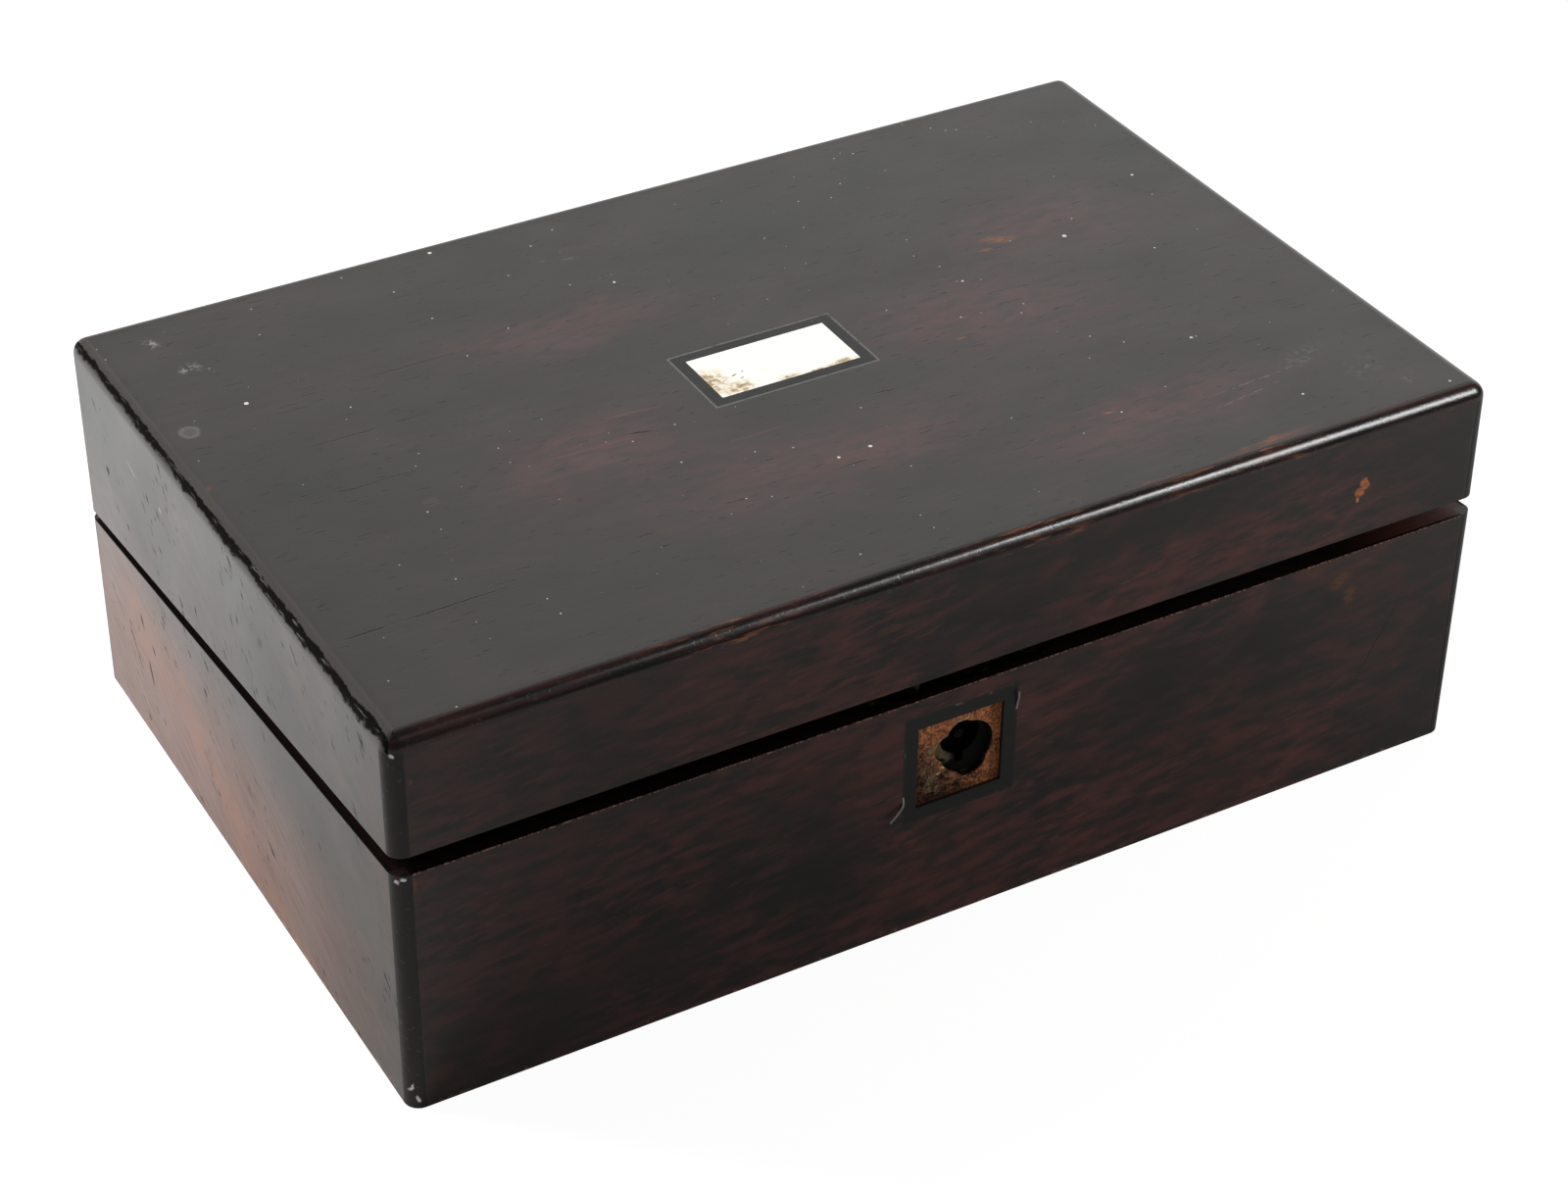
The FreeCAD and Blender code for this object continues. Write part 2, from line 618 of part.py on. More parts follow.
# Inside the base
partition = block(-INNER_X, INNER_X, PARTITION_FRONT, PARTITION_BACK, BOTTOM, TALL)
parts["long_partition"] = partition.common(BELOW_FLAP)
dividers = []
bearers = []
for side in (-1, 1):
    near = side * TRAY_LENGTH / 2
    xs = between(near, near + side * DIVIDER)
    divider = block(*xs, -INNER_Y, PARTITION_FRONT, BOTTOM, TALL)
    dividers.append(divider.common(BELOW_FLAP))
    xs = between(near, near - side * BEARER)
    bearers.append(block(*xs, -INNER_Y, PARTITION_FRONT, BOTTOM, TRAY_TOP - TRAY))
parts["ink_well_dividers"] = group(dividers)
parts["pen_tray_bearers"] = group(bearers)
parts["pen_tray"] = pen_tray()
well = block(-INNER_X, INNER_X, PARTITION_BACK, INNER_Y, BOTTOM, TALL)
parts["base_flap_ledges"] = group(flap_ledges(mirrored=False, room=well))

# Writing flap over the base
base_flap_front = along_rim((PARTITION_FRONT + PARTITION_BACK) / 2)
panel, leather, flap_pins, tab = flap_panel(base_flap_front, tab_hangs_over=True)
parts["base_flap_panel"] = on_rim(panel)
parts["base_flap_leather"] = on_rim(leather)
parts["base_flap_pins"] = group([on_rim(pin) for pin in flap_pins])
parts["base_flap_tab"] = on_rim(tab)

# Lid carcase
lid_outside = outer_box(LID_TOP, round_top=True).common(ABOVE_SEAM)
lid_boards = wall_boards(ABOVE_SEAM, LID_TOP - VENEER - TOP)
lid_veneers = wall_veneers(ABOVE_SEAM, LID_TOP - ROUND)
lid_boards["front_board"] = cut_all(lid_boards["front_board"], [link_plate] + link_holes)
lid_boards["back_board"] = cut_all(lid_boards["back_board"], gains + lid_screw_holes)
for end in ("left_end", "right_end"):
    lid_boards[end] = lid_boards[end].cut(flap_pin_holes(mirrored=True))
lid_veneers["back_veneer"] = cut_all(lid_veneers["back_veneer"], gains)
for name, shape in {**lid_boards, **lid_veneers}.items():
    parts["lid_" + name] = lid_rotated(shape)
edge_outlines = {
    "front": [(-1, -1), (1, -1)],
    "back": [(1, 1), (-1, 1)],
    "left": [(-1, 1), (-1, -1)],
    "right": [(1, -1), (1, 1)],
}
top_edges = []
for name, (start, end) in edge_outlines.items():
    outer = [(sx * HALF_WIDTH, sy * HALF_DEPTH) for sx, sy in (start, end)]
    inner = [(sx * (HALF_WIDTH - ROUND), sy * (HALF_DEPTH - ROUND)) for sx, sy in (end, start)]
    points = [Vector(x, y, LID_TOP - ROUND) for x, y in outer + inner]
    strip = Part.Face(Part.makePolygon(points + points[:1])).extrude(Vector(0, 0, ROUND))
    top_edges.append(strip)
    parts["lid_edging_" + name] = lid_rotated(strip.common(lid_outside))
lid_corners = [column.common(lid_outside) for column in corner_columns(0, LID_TOP - ROUND)]
parts["lid_corner_beads"] = lid_rotated(group(lid_corners))
board_x = HALF_WIDTH - VENEER
board_y = HALF_DEPTH - VENEER
top_board = block(-board_x, board_x, -board_y, board_y, LID_TOP - VENEER - TOP, LID_TOP - VENEER)
parts["lid_top_board"] = lid_rotated(cut_all(top_board, top_edges + COLUMNS))

# Lid top: veneer, name plate and its string
veneer_x = HALF_WIDTH - ROUND
veneer_y = HALF_DEPTH - ROUND
top_veneer = block(-veneer_x, veneer_x, -veneer_y, veneer_y, LID_TOP - VENEER, LID_TOP)
name_plate = top_panel(PLATE_LENGTH, PLATE_WIDTH)
plate_panel = top_panel(PLATE_STRING_LENGTH, PLATE_STRING_WIDTH)
plate_surround = top_panel(PLATE_STRING_LENGTH - 2 * STRING, PLATE_STRING_WIDTH - 2 * STRING)
plate_strips = [moved(one, 0, 0, LID_TOP) for one in string_frame(PLATE_STRING_LENGTH, PLATE_STRING_WIDTH)]
parts["lid_top_veneer"] = lid_rotated(top_veneer.cut(plate_panel))
parts["plate_surround"] = lid_rotated(plate_surround.cut(name_plate))
parts["name_plate"] = lid_rotated(name_plate)
parts["plate_stringing"] = lid_rotated(group(plate_strips))

# Writing flap in the lid
lid_room = block(-INNER_X, INNER_X, -INNER_Y, INNER_Y, 0, LID_TOP - VENEER - TOP)
parts["lid_flap_ledges"] = lid_rotated(group(flap_ledges(mirrored=True, room=lid_room)))
lid_flap_front = along_rim(-INNER_Y) + FLAP_EDGE
panel, leather, flap_pins, tab = flap_panel(lid_flap_front, tab_hangs_over=False)
parts["lid_flap_panel"] = lid_rotated(on_rim(mirrored_to_lid(panel)))
parts["lid_flap_leather"] = lid_rotated(on_rim(mirrored_to_lid(leather)))
parts["lid_flap_pins"] = lid_rotated(group([on_rim(mirrored_to_lid(pin)) for pin in flap_pins]))
parts["lid_flap_tab"] = lid_rotated(on_rim(mirrored_to_lid(tab)))

os.makedirs("parts", exist_ok=True)
for name, shape in parts.items():
    if not shape.isValid():
        print(name, "is not a valid shape")
    shape.exportStep("parts/" + name + ".step")
print(len(parts), "parts; hinge axis at", HINGE_AXIS, "lid top at", LID_TOP)
print("slope", math.degrees(SLOPE), "opening limit", 180 - LID_AJAR)
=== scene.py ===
# %% [markdown]
# # An old writing box, dressed in Blender
#
# The box is about 150 years old: dark polished veneer over a plain carcase, a pale name plate let
# into the lid, a key plate that has fallen off, and inside two leather-covered writing flaps.
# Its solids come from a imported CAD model, which is the fixed frame. They could be modelled again
# here, but then the hinges and the lock might no longer fit, so this lesson only gives each piece
# its finish, replaces the few soft pieces, and adds gilt, crumbs and loose ends.

# %% Load the solids
import math

import bmesh
import bpy
from mathutils import Matrix, Vector, noise


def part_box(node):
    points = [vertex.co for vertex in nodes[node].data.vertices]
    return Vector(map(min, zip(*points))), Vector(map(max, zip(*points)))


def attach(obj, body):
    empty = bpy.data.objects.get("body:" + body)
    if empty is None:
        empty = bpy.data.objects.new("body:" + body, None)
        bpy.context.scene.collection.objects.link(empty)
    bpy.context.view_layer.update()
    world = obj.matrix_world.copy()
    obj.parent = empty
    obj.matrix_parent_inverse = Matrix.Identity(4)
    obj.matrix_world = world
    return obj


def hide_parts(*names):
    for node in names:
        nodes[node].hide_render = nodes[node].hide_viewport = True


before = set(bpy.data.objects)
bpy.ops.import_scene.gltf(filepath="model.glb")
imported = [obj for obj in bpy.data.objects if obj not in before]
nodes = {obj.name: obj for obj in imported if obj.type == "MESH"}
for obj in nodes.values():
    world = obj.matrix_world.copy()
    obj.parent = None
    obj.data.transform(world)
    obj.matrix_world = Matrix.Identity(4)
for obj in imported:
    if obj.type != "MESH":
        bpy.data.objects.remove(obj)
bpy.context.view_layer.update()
MM = 0.001

# %% [markdown]
# ## Shader maths as plain expressions
#
# Old wood needs dozens of small masks: rubbed spots, cracks, dust. Wiring each Math node by hand
# would hide what the mask means. A small class wraps one output socket instead, so that
# `1 - mask` or `mask * 0.5` adds the node by itself, and `a | b` keeps the larger of two masks.


# %% A socket that takes part in arithmetic
class Wire:
    """One output of a node. Arithmetic on it adds Math nodes to the same tree."""

    def __init__(self, builder, socket):
        self.builder = builder
        self.socket = socket

    def other(self, output):
        return Wire(self.builder, self.socket.node.outputs[output])

    def __add__(self, other):
        return self.builder.maths("ADD", self, other)

    def __sub__(self, other):
        return self.builder.maths("SUBTRACT", self, other)

    def __rsub__(self, other):
        return self.builder.maths("SUBTRACT", other, self)

    def __mul__(self, other):
        return self.builder.maths("MULTIPLY", self, other)

    def __pow__(self, other):
        return self.builder.maths("POWER", self, other)

    def __or__(self, other):
        return self.builder.maths("MAXIMUM", self, other)

    def __abs__(self):
        return self.builder.maths("ABSOLUTE", self, 0.0)

    __radd__ = __add__
    __rmul__ = __mul__
    __ror__ = __or__


print("masks are written as expressions")

# %% [markdown]
# ## One builder for every tree
#
# Materials here and the Geometry Nodes further down are all made by one method, which takes a node's
# type, its settings and its inputs. All patterns are measured in millimetres on the object itself, in
# Object coordinates, so a pore is as long on the lid as on the base and stays in place when the
# lid swings. A Mapping node of type Texture divides by the size of a feature after turning it, which
# suits wood: the same noise gives long fibres when its cell is 60 mm by 1 mm.


# %% The builder
class Builder:
    """A node tree, and the one method that adds nodes to it."""

    def __init__(self, tree):
        self.tree = tree

    def node(self, kind, settings=None, inputs=None, output=0):
        made = self.tree.nodes.new(kind)
        for name, value in (settings or {}).items():
            setattr(made, name, value)
        for key, value in (inputs or {}).items():
            if isinstance(value, Wire):
                self.tree.links.new(value.socket, made.inputs[key])
            else:
                made.inputs[key].default_value = value
        return Wire(self, made.outputs[output]) if made.outputs else None

    def maths(self, operation, first, second):
        return self.node("ShaderNodeMath", {"operation": operation}, {0: first, 1: second})

    def vector(self, operation, first, second, output=0):
        return self.node("ShaderNodeVectorMath", {"operation": operation}, {0: first, 1: second}, output)


print("one method adds every node")

# %% Patterns of a finish
FAR = 1000.0
SEED_STEPS = (37.0, 53.0, 71.0)
BARE_ROUGHNESS = 0.7
BARE_SHINE = 0.06


def seeded(seed):
    """A centre far from those of the other patterns."""
    return [seed * step for step in SEED_STEPS]


def on_face(flat_axis, first, second, across):
    """Three numbers in X, Y, Z order: two in a face and one across it."""
    values = [first, second]
    values.insert(flat_axis, across)
    return tuple(values)


class Finish(Builder):
    """A shader tree and the few kinds of pattern that the finishes of the box are made of."""

    def __init__(self, tree, coordinates="Object"):
        super().__init__(tree)
        tree.nodes.clear()
        self.place = self.node("ShaderNodeTexCoord", output=coordinates)

    def axis(self, name):
        """One coordinate of the surface, in millimetres."""
        return self.node("ShaderNodeSeparateXYZ", {}, {0: self.place}, name) * (1 / MM)

    def rise(self, value, low, high):
        """A mask that grows smoothly from 0 at low to 1 at high."""
        inputs = {"Value": value, "From Min": low, "From Max": high}
        return self.node("ShaderNodeMapRange", {"interpolation_type": "SMOOTHSTEP"}, inputs)

    def mix(self, share, first, second):
        colours = {0: share, 6: first, 7: second}
        for key in (6, 7):
            if not isinstance(colours[key], Wire):
                colours[key] = (*colours[key], 1.0)
        return self.node("ShaderNodeMix", {"data_type": "RGBA"}, colours, 2)

    def paint(self, share, colour):
        """Lays a colour over what is painted so far, as far as the mask says."""
        self.colour = self.mix(share, self.colour, colour)

    def cells(self, size, centre=(0, 0, 0), turn=(0, 0, 0), place=None):
        """Coordinates counted in features of one size or of three, in millimetres, about a centre."""
        size = size if isinstance(size, (tuple, list)) else (size,) * 3
        inputs = {
            "Vector": place or self.place,
            "Location": [value * MM for value in centre],
            "Rotation": [math.radians(value) for value in turn],
            "Scale": [value * MM for value in size],
        }
        return self.node("ShaderNodeMapping", {"vector_type": "TEXTURE"}, inputs)

    def noise(self, size, detail=3.0, turn=(0, 0, 0), seed=0, warp=0.0, output=0):
        where = self.cells(size, seeded(seed), turn)
        inputs = {"Vector": where, "Scale": 1.0, "Detail": detail, "Distortion": warp}
        return self.node("ShaderNodeTexNoise", {}, inputs, output)

    def ragged(self, amount, size):
        """The place on the surface, pushed about by up to that many millimetres."""
        push = self.vector("SUBTRACT", self.noise(size, output="Color"), (0.5, 0.5, 0.5))
        return self.vector("ADD", self.place, self.vector("MULTIPLY", push, (2 * amount * MM,) * 3))

    def mark(self, flat_axis, centre, half, turn=0.0, soft=0.6, place=None):
        """A mask of one oval mark on a face: a spot, or a scratch where it is long and thin."""
        where = self.cells(
            on_face(flat_axis, *half, FAR),
            on_face(flat_axis, *centre, 0.0),
            on_face(flat_axis, 0.0, 0.0, turn),
            place,
        )
        away = self.vector("LENGTH", where, (0, 0, 0), "Value")
        return self.rise(away, 1.0, 1.0 - soft)

    def marks(self, flat_axis, listed, soft=0.6, place=None):
        total = 0.0
        for centre, half, turn in listed:
            total = self.mark(flat_axis, centre, half, turn, soft, place) | total
        return total

    def specks(self, cell, largest, flat_axis=None, rarity=5.0, seed=0):
        """Scattered grains: one in each cell at most, few of them near the largest size."""
        size = [cell] * 3
        if flat_axis is not None:
            size[flat_axis] = FAR
        where = self.cells(size, seeded(seed))
        away = self.node("ShaderNodeTexVoronoi", {}, {"Vector": where, "Scale": 1.0}, "Distance")
        chance = self.node("ShaderNodeSeparateColor", {}, {0: away.other("Color")}, "Red")
        return self.rise(chance ** rarity * (largest / cell) - away, 0.0, 0.15 * largest / cell)

    def bump(self, height, depth):
        """A normal from a height between 0 and 1 that stands for that many millimetres."""
        return self.node("ShaderNodeBump", {}, {"Distance": depth * MM, "Height": height}, "Normal")

    def principled(self, roughness, normal, metallic, shine):
        inputs = {"Base Color": self.colour, "Roughness": roughness, "Normal": normal}
        inputs |= {"Metallic": metallic, "Specular IOR Level": shine}
        return self.node("ShaderNodeBsdfPrincipled", {}, inputs)

    def surface(self, roughness, normal, metallic=0.0, shine=0.5, matt=None):
        """The painted colour as a surface. Shine is its mirror share, and matt masks bare wood."""
        shader = self.principled(roughness, normal, metallic, shine)
        if matt is not None:
            bare = self.principled(BARE_ROUGHNESS, normal, 0.0, BARE_SHINE)
            shader = self.node("ShaderNodeMixShader", {}, {0: matt, 1: shader, 2: bare})
        self.node("ShaderNodeOutputMaterial", {}, {"Surface": shader})


def new_finish(name):
    material = bpy.data.materials.new(name)
    material.use_nodes = True
    finish = Finish(material.node_tree)
    finish.material = material
    return finish


def dress(finish, *names):
    for name in names:
        nodes[name].material_slots[0].material = finish.material
    print(finish.material.name, "on", ", ".join(names))


print("patterns are ready, one unit is", MM, "m")

# %% [markdown]
# ## The camera
#
# The picture was taken from the front left, about 35 degrees above the table, with a long lens.
# A camera can be turned by angles, but the corners of the box fix three directions directly:
# where the picture's right, its upward side and the line of sight point on the object.

# %% Camera
SENSOR_WIDTH = 36.0
FOCAL_LENGTH = 81.29
CAMERA_PLACE = Vector((-0.38015, -0.66457, 0.58601))
PICTURE_RIGHT = Vector((0.86978, -0.49333, 0.01093))
LINE_OF_SIGHT = Vector((0.40601, 0.70288, -0.58405))

camera = bpy.data.objects.new("camera", bpy.data.cameras.new("camera"))
camera.data.sensor_width = SENSOR_WIDTH
camera.data.lens = FOCAL_LENGTH
towards_viewer = -LINE_OF_SIGHT.normalized()
upward = towards_viewer.cross(PICTURE_RIGHT.normalized())
turned = Matrix((PICTURE_RIGHT.normalized(), upward, towards_viewer)).transposed()
camera.matrix_world = Matrix.Translation(CAMERA_PLACE) @ turned.to_4x4()
bpy.context.scene.collection.objects.link(camera)
bpy.context.scene.camera = camera
bpy.context.scene.view_settings.view_transform = "Standard"

# %% [markdown]
# ## Floor, backdrop and light
#
# Dark polish is a mirror more than a colour: the lid shows the pale backdrop, the left end shows
# the lit floor, and the front shows the floor in the shadow of the box. So the main light comes from
# behind on the left, a weak fill lifts the shadow on the right, and the front stays dark. A strip
# gives the shine along the rounded front edge. It is linked to that edging alone, because the lid
# would show it as a white glare from behind. The floor looks white to the camera through Light
# Path, with a little of its real shading left in, so that the shadow of the box still shows.

# %% Floor
FLOOR_HALF = 3.0
FLOOR_DROP = 0.0002
FLOOR_COLOUR = (0.56, 0.56, 0.55)
WHITE = (1.0, 1.0, 1.0, 1.0)
FLOOR_WHITE_TO_CAMERA = 0.66
FLOOR_WHITE_LEVEL = 1.40
FLOOR_WHITE_IN_GLOSS = 0.90
# Where the floor turns white in gloss, in millimetres, and how far it does on the right
SWEEP_BACK = (-60.0, 210.0)
SWEEP_RIGHT = (60.0, 300.0)
SWEEP_RIGHT_SHARE = 0.17

signs = ((-1, -1), (1, -1), (1, 1), (-1, 1))
corners = [(x * FLOOR_HALF, y * FLOOR_HALF, -FLOOR_DROP) for x, y in signs]
floor_mesh = bpy.data.meshes.new("floor")
floor_mesh.from_pydata(corners, [], [(0, 1, 2, 3)])
floor = bpy.data.objects.new("floor", floor_mesh)
bpy.context.scene.collection.objects.link(floor)

paper = new_finish("floor paper")
seen = paper.node("ShaderNodeLightPath", output="Is Camera Ray")
straight = seen | seen.other("Is Transmission Ray")
at_right = paper.rise(paper.axis("X"), *SWEEP_RIGHT) * SWEEP_RIGHT_SHARE
swept_up = paper.rise(paper.axis("Y"), *SWEEP_BACK) | at_right
in_gloss = seen.other("Is Glossy Ray") * swept_up * FLOOR_WHITE_IN_GLOSS
share = straight * FLOOR_WHITE_TO_CAMERA | in_gloss
lit = paper.node("ShaderNodeBsdfDiffuse", {}, {"Color": (*FLOOR_COLOUR, 1.0)})
white = paper.node("ShaderNodeEmission", {}, {"Color": WHITE, "Strength": FLOOR_WHITE_LEVEL})
blended = paper.node("ShaderNodeMixShader", {}, {0: share, 1: lit, 2: white})
paper.node("ShaderNodeOutputMaterial", {}, {"Surface": blended})
floor_mesh.materials.append(paper.material)
print("floor", 2 * FLOOR_HALF, "m wide")

# %% Backdrop, all round
AMBIENT = 0.24
BACKDROP = 1.0
ROOM = 0.10
# Parts of a unit direction: where the backdrop begins behind the box and ends above it
BACKDROP_BEHIND = (0.05, 0.40)
BACKDROP_ABOVE = (0.95, 0.70)
MIDDLE_LEVEL = 0.75
RISE_TO_RIGHT = 0.70

world = bpy.data.worlds.new("studio")
bpy.context.scene.world = world
world.use_nodes = True
studio = Finish(world.node_tree, "Generated")
seen = studio.node("ShaderNodeLightPath", output="Is Camera Ray")
straight = seen | seen.other("Is Transmission Ray")
gloss = seen.other("Is Glossy Ray")
direction = studio.node("ShaderNodeSeparateXYZ", {}, {0: studio.place}, "Y")
behind = studio.rise(direction, *BACKDROP_BEHIND) * studio.rise(direction.other("Z"), *BACKDROP_ABOVE)
brighter_right = MIDDLE_LEVEL + RISE_TO_RIGHT * direction.other("X")
reflected = behind * brighter_right * (BACKDROP - ROOM) + ROOM
level = straight + (1 - straight) * (gloss * reflected + (1 - gloss) * AMBIENT)
sky = studio.node("ShaderNodeBackground", {}, {"Color": WHITE, "Strength": level})
studio.node("ShaderNodeOutputWorld", {}, {"Surface": sky})
print("backdrop", BACKDROP, "in gloss behind the box, ambient", AMBIENT)


# %% Soft lamps
def softbox(name, place, aim, size, power):
    lamp = bpy.data.lights.new(name, "AREA")
    lamp.shape = "RECTANGLE"
    lamp.size = size[0]
    lamp.size_y = size[1]
    lamp.energy = power
    holder = bpy.data.objects.new(name, lamp)
    holder.location = place
    holder.rotation_euler = (Vector(aim) - Vector(place)).to_track_quat("-Z", "Y").to_euler()
    bpy.context.scene.collection.objects.link(holder)
    print(name, power, "W")
    return holder


main_light = softbox(
    "main light, back left",
    place=(-0.80, 1.00, 0.90), aim=(-0.12, 0.12, 0.0), size=(0.9, 0.7), power=38.0,
)
main_light.visible_glossy = False
edge_light = softbox(
    "strip for the front edge",
    place=(0.78, -0.73, 0.87), aim=(0.115, -0.096, 0.107), size=(0.17, 0.70), power=14.0,
)
edge_light.visible_diffuse = False
front_edge = bpy.data.collections.new("front edge")
front_edge.objects.link(nodes["lid_edging_front"])
edge_light.light_linking.receiver_collection = front_edge
fill_light = softbox(
    "fill light, front right",
    place=(0.58, -0.50, 0.38), aim=(0.18, -0.22, 0.0), size=(0.35, 0.35), power=2.2,
)
fill_light.visible_glossy = False

# %% [markdown]
# ## The figure of the veneer
#
# The veneer is about a millimetre of dark hardwood: nearly black fibres, a red-brown figure in
# short flames along the grain, and fine open pores. An image texture would repeat and can't follow
# the cut of each leaf, so the figure is four noises in cells of different length, turned with the
# grain of each face. Each finish is then painted coat over coat, one mask and one colour at a time.

# %% Figure
BLACK_WOOD = (0.0125, 0.0120, 0.0110)
BROWN_WOOD = (0.0250, 0.0200, 0.0170)
RED_WOOD = (0.075, 0.024, 0.019)
MAUVE_WOOD = (0.064, 0.026, 0.024)
ORANGE_WOOD = (0.34, 0.115, 0.036)
DARK_WOODS = (BLACK_WOOD, BROWN_WOOD, RED_WOOD)
PORE = (0.006, 0.005, 0.0045)
DUST = (0.62, 0.60, 0.56)


def along(grain, length, width):
    """The size of a feature that is long along one axis and thin across it."""
    return tuple(length if axis == grain else width for axis in range(3))


def figured(f, grain, turn=(0, 0, 0), seed=0, red=0.5, colours=DARK_WOODS, streaks=0.4):
    """Paints a leaf of veneer, and gives a height that is low in its pores."""
    black, brown, warm = colours
    fibre = f.noise(along(grain, 30.0, 1.0), 4.0, turn, seed)
    flame = f.noise(along(grain, 13.0, 4.6), 4.0, turn, seed + 1, 0.6)
    patch = f.noise(along(grain, 60.0, 34.0), 2.0, turn, seed + 2)
    pores = f.rise(f.noise(along(grain, 5.0, 0.32), 1.0, turn, seed + 3), 0.66, 0.76)
    brownness = f.rise(fibre, 0.30, 0.72) * streaks + f.rise(patch, 0.30, 0.70) * (1 - streaks) * 0.6
    f.colour = f.mix(brownness, black, brown)
    f.paint(f.rise(flame, 0.40, 0.74) * f.rise(patch, 0.36, 0.64) * red, warm)
    f.paint(pores * 0.5, PORE)
    return 0.35 * fibre + 0.65 * (1 - pores)


print("figure in fibres, flames and pores")

# %% [markdown]
# ## The lid's top
#
# This is the face that shows most, and it has a history: rubbed places where the orange wood shows,
# shrinkage cracks along the grain, a smear and a ring left by something wet, dust and
# fine scratches. Each is an oval mark at its own place, in millimetres from the middle of the
# box, with its edge pushed about by noise so that no two look alike.

# %% Top veneer
TOP = 2
TOP_RUBBED = [
    ((83.5, 25.0), (7.0, 2.4), -12),
    ((77, 22), (4.0, 1.2), -12),
    ((-148, 15), (2.2, 1.2), 40),
    ((61, -62), (3.0, 1.2), 0),
    ((47, -14), (2.4, 0.8), 0),
    ((86, -92.8), (22.0, 2.2), 2),
    ((52, -93.4), (12.0, 1.2), 0),
]
TOP_BROWN_SPOT = ((-103.5, -16.4), (3.2, 2.6), 0)
TOP_RED = [
    ((62, -4), (58, 34), -8),
    ((-58, -20), (46, 26), 0),
    ((-10, -46), (80, 24), 0),
    ((96, 26), (48, 26), 0),
    ((70, -66), (66, 22), 0),
    ((-40, 40), (50, 18), 0),
]
TOP_RED_LINES = [((-43.7, -4.2), (13, 0.6), -5), ((-60, -14), (14, 0.5), -2), ((-20, -28), (12, 0.5), 0)]
TOP_CRACKS = [
    ((-120.5, -57.7), (25, 0.26), 0.9),
    ((-138, -58.0), (9, 0.30), 1.0),
    ((-45.5, -13.5), (4.4, 0.45), -14),
    ((-104, 20), (22, 0.16), 0.5),
    ((-84, 43), (17, 0.14), 0.0),
    ((-112, -2), (18, 0.14), 0.0),
    ((16, -26.2), (6, 0.24), -6),
]
TOP_SMEARS = [((-135, 84), (2.6, 5.0), 20), ((-131, 69), (5.0, 3.0), 30), ((-127, 66), (3.0, 1.4), 0)]
TOP_RING = ((-142.4, 40.7), (3.2, 3.2), 0)
TOP_HAZE = [((129, -75), (9, 6), 30), ((137, -85), (4, 3), 0), ((119, -63), (12, 5), 20)]
TOP_SCRATCHES = [
    ((-24.8, 72.9), (8, 0.22), -18),
    ((104, -67), (24, 0.16), 4),
    ((96, -72), (18, 0.12), 8),
]


def top_veneer():
    f = new_finish("polished veneer of the top")
    rough = f.ragged(2.4, 7.0)
    fine = f.ragged(0.5, 3.0)
    height = figured(f, 0, seed=1, red=0.10, streaks=0.3)
    red = f.marks(TOP, TOP_RED, 1.0, f.ragged(14.0, 40.0))
    flame = f.rise(f.noise(along(0, 9.0, 3.0), 5.0, seed=6, warp=0.4), 0.32, 0.68)
    f.paint(red * (0.25 + 0.75 * flame) * 0.95, MAUVE_WOOD)
    f.paint(f.marks(TOP, TOP_RED_LINES, 0.9, fine) * 0.5, (0.12, 0.036, 0.028))
    grain = f.rise(f.noise(along(0, 5.0, 0.5), 2.0, seed=8), 0.38, 0.60)
    rubbed = f.marks(TOP, TOP_RUBBED, 0.9, rough) * (0.25 + 0.75 * grain)
    f.paint(rubbed * 0.75, (0.24, 0.085, 0.032))
    f.paint(f.mark(TOP, *TOP_BROWN_SPOT, place=fine) * grain * 0.5, (0.075, 0.046, 0.028))
    # Painted shade: a dark band along the edges of the top stands in for the darker reflection where the
    # surface turns into the round of the edging.
    border = f.rise(abs(f.axis("X")), 146.0, 148.6) | f.rise(abs(f.axis("Y") - 0.6), 91.6, 94.4)
    f.paint(border * 0.6, (0.012, 0.008, 0.007))
    cracks = f.marks(TOP, TOP_CRACKS, 0.8, fine)
    broken = f.rise(f.noise(7.0, 2.0, seed=9), 0.34, 0.50)
    dashes = f.rise(f.noise(along(0, 6.0, 0.6), 1.0, seed=10), 0.725, 0.755)
    dark = cracks * broken | dashes
    f.paint(dark * 0.92, (0.003, 0.0025, 0.002))
    curdled = f.rise(f.noise(1.6, seed=11), 0.46, 0.62)
    disc = f.mark(TOP, *TOP_RING, soft=0.30, place=fine)
    inside = f.mark(TOP, TOP_RING[0], (2.4, 2.4), 0, 0.5, fine)
    smear = f.marks(TOP, TOP_SMEARS, 0.9, rough) * curdled * 0.50 | disc * (1 - 0.5 * inside) * 0.16
    smear = smear | f.marks(TOP, TOP_HAZE, 1.0, rough) * curdled * 0.10
    worn_through = f.rise(f.noise(1.4, seed=12), 0.44, 0.60)
    scratches = f.marks(TOP, TOP_SCRATCHES, 0.9, fine) * worn_through
    f.paint(smear | scratches * 0.5, (0.42, 0.40, 0.36))
    dust = f.specks(9.0, 0.70, TOP, 5.0, 1) | f.specks(3.0, 0.32, TOP, 4.0, 2) * 0.7
    f.paint(dust, DUST)
    worn = f.noise((24.0, 14.0, 14.0), 5.0, seed=13)
    roughness = 0.26 + 0.18 * worn + 0.25 * (smear | dust) + 0.10 * rubbed
    normal = f.bump(height * 0.45 + dust - dark * 3.0, 0.05)
    f.surface(roughness, normal)
    return f


dress(top_veneer(), "lid_top_veneer")
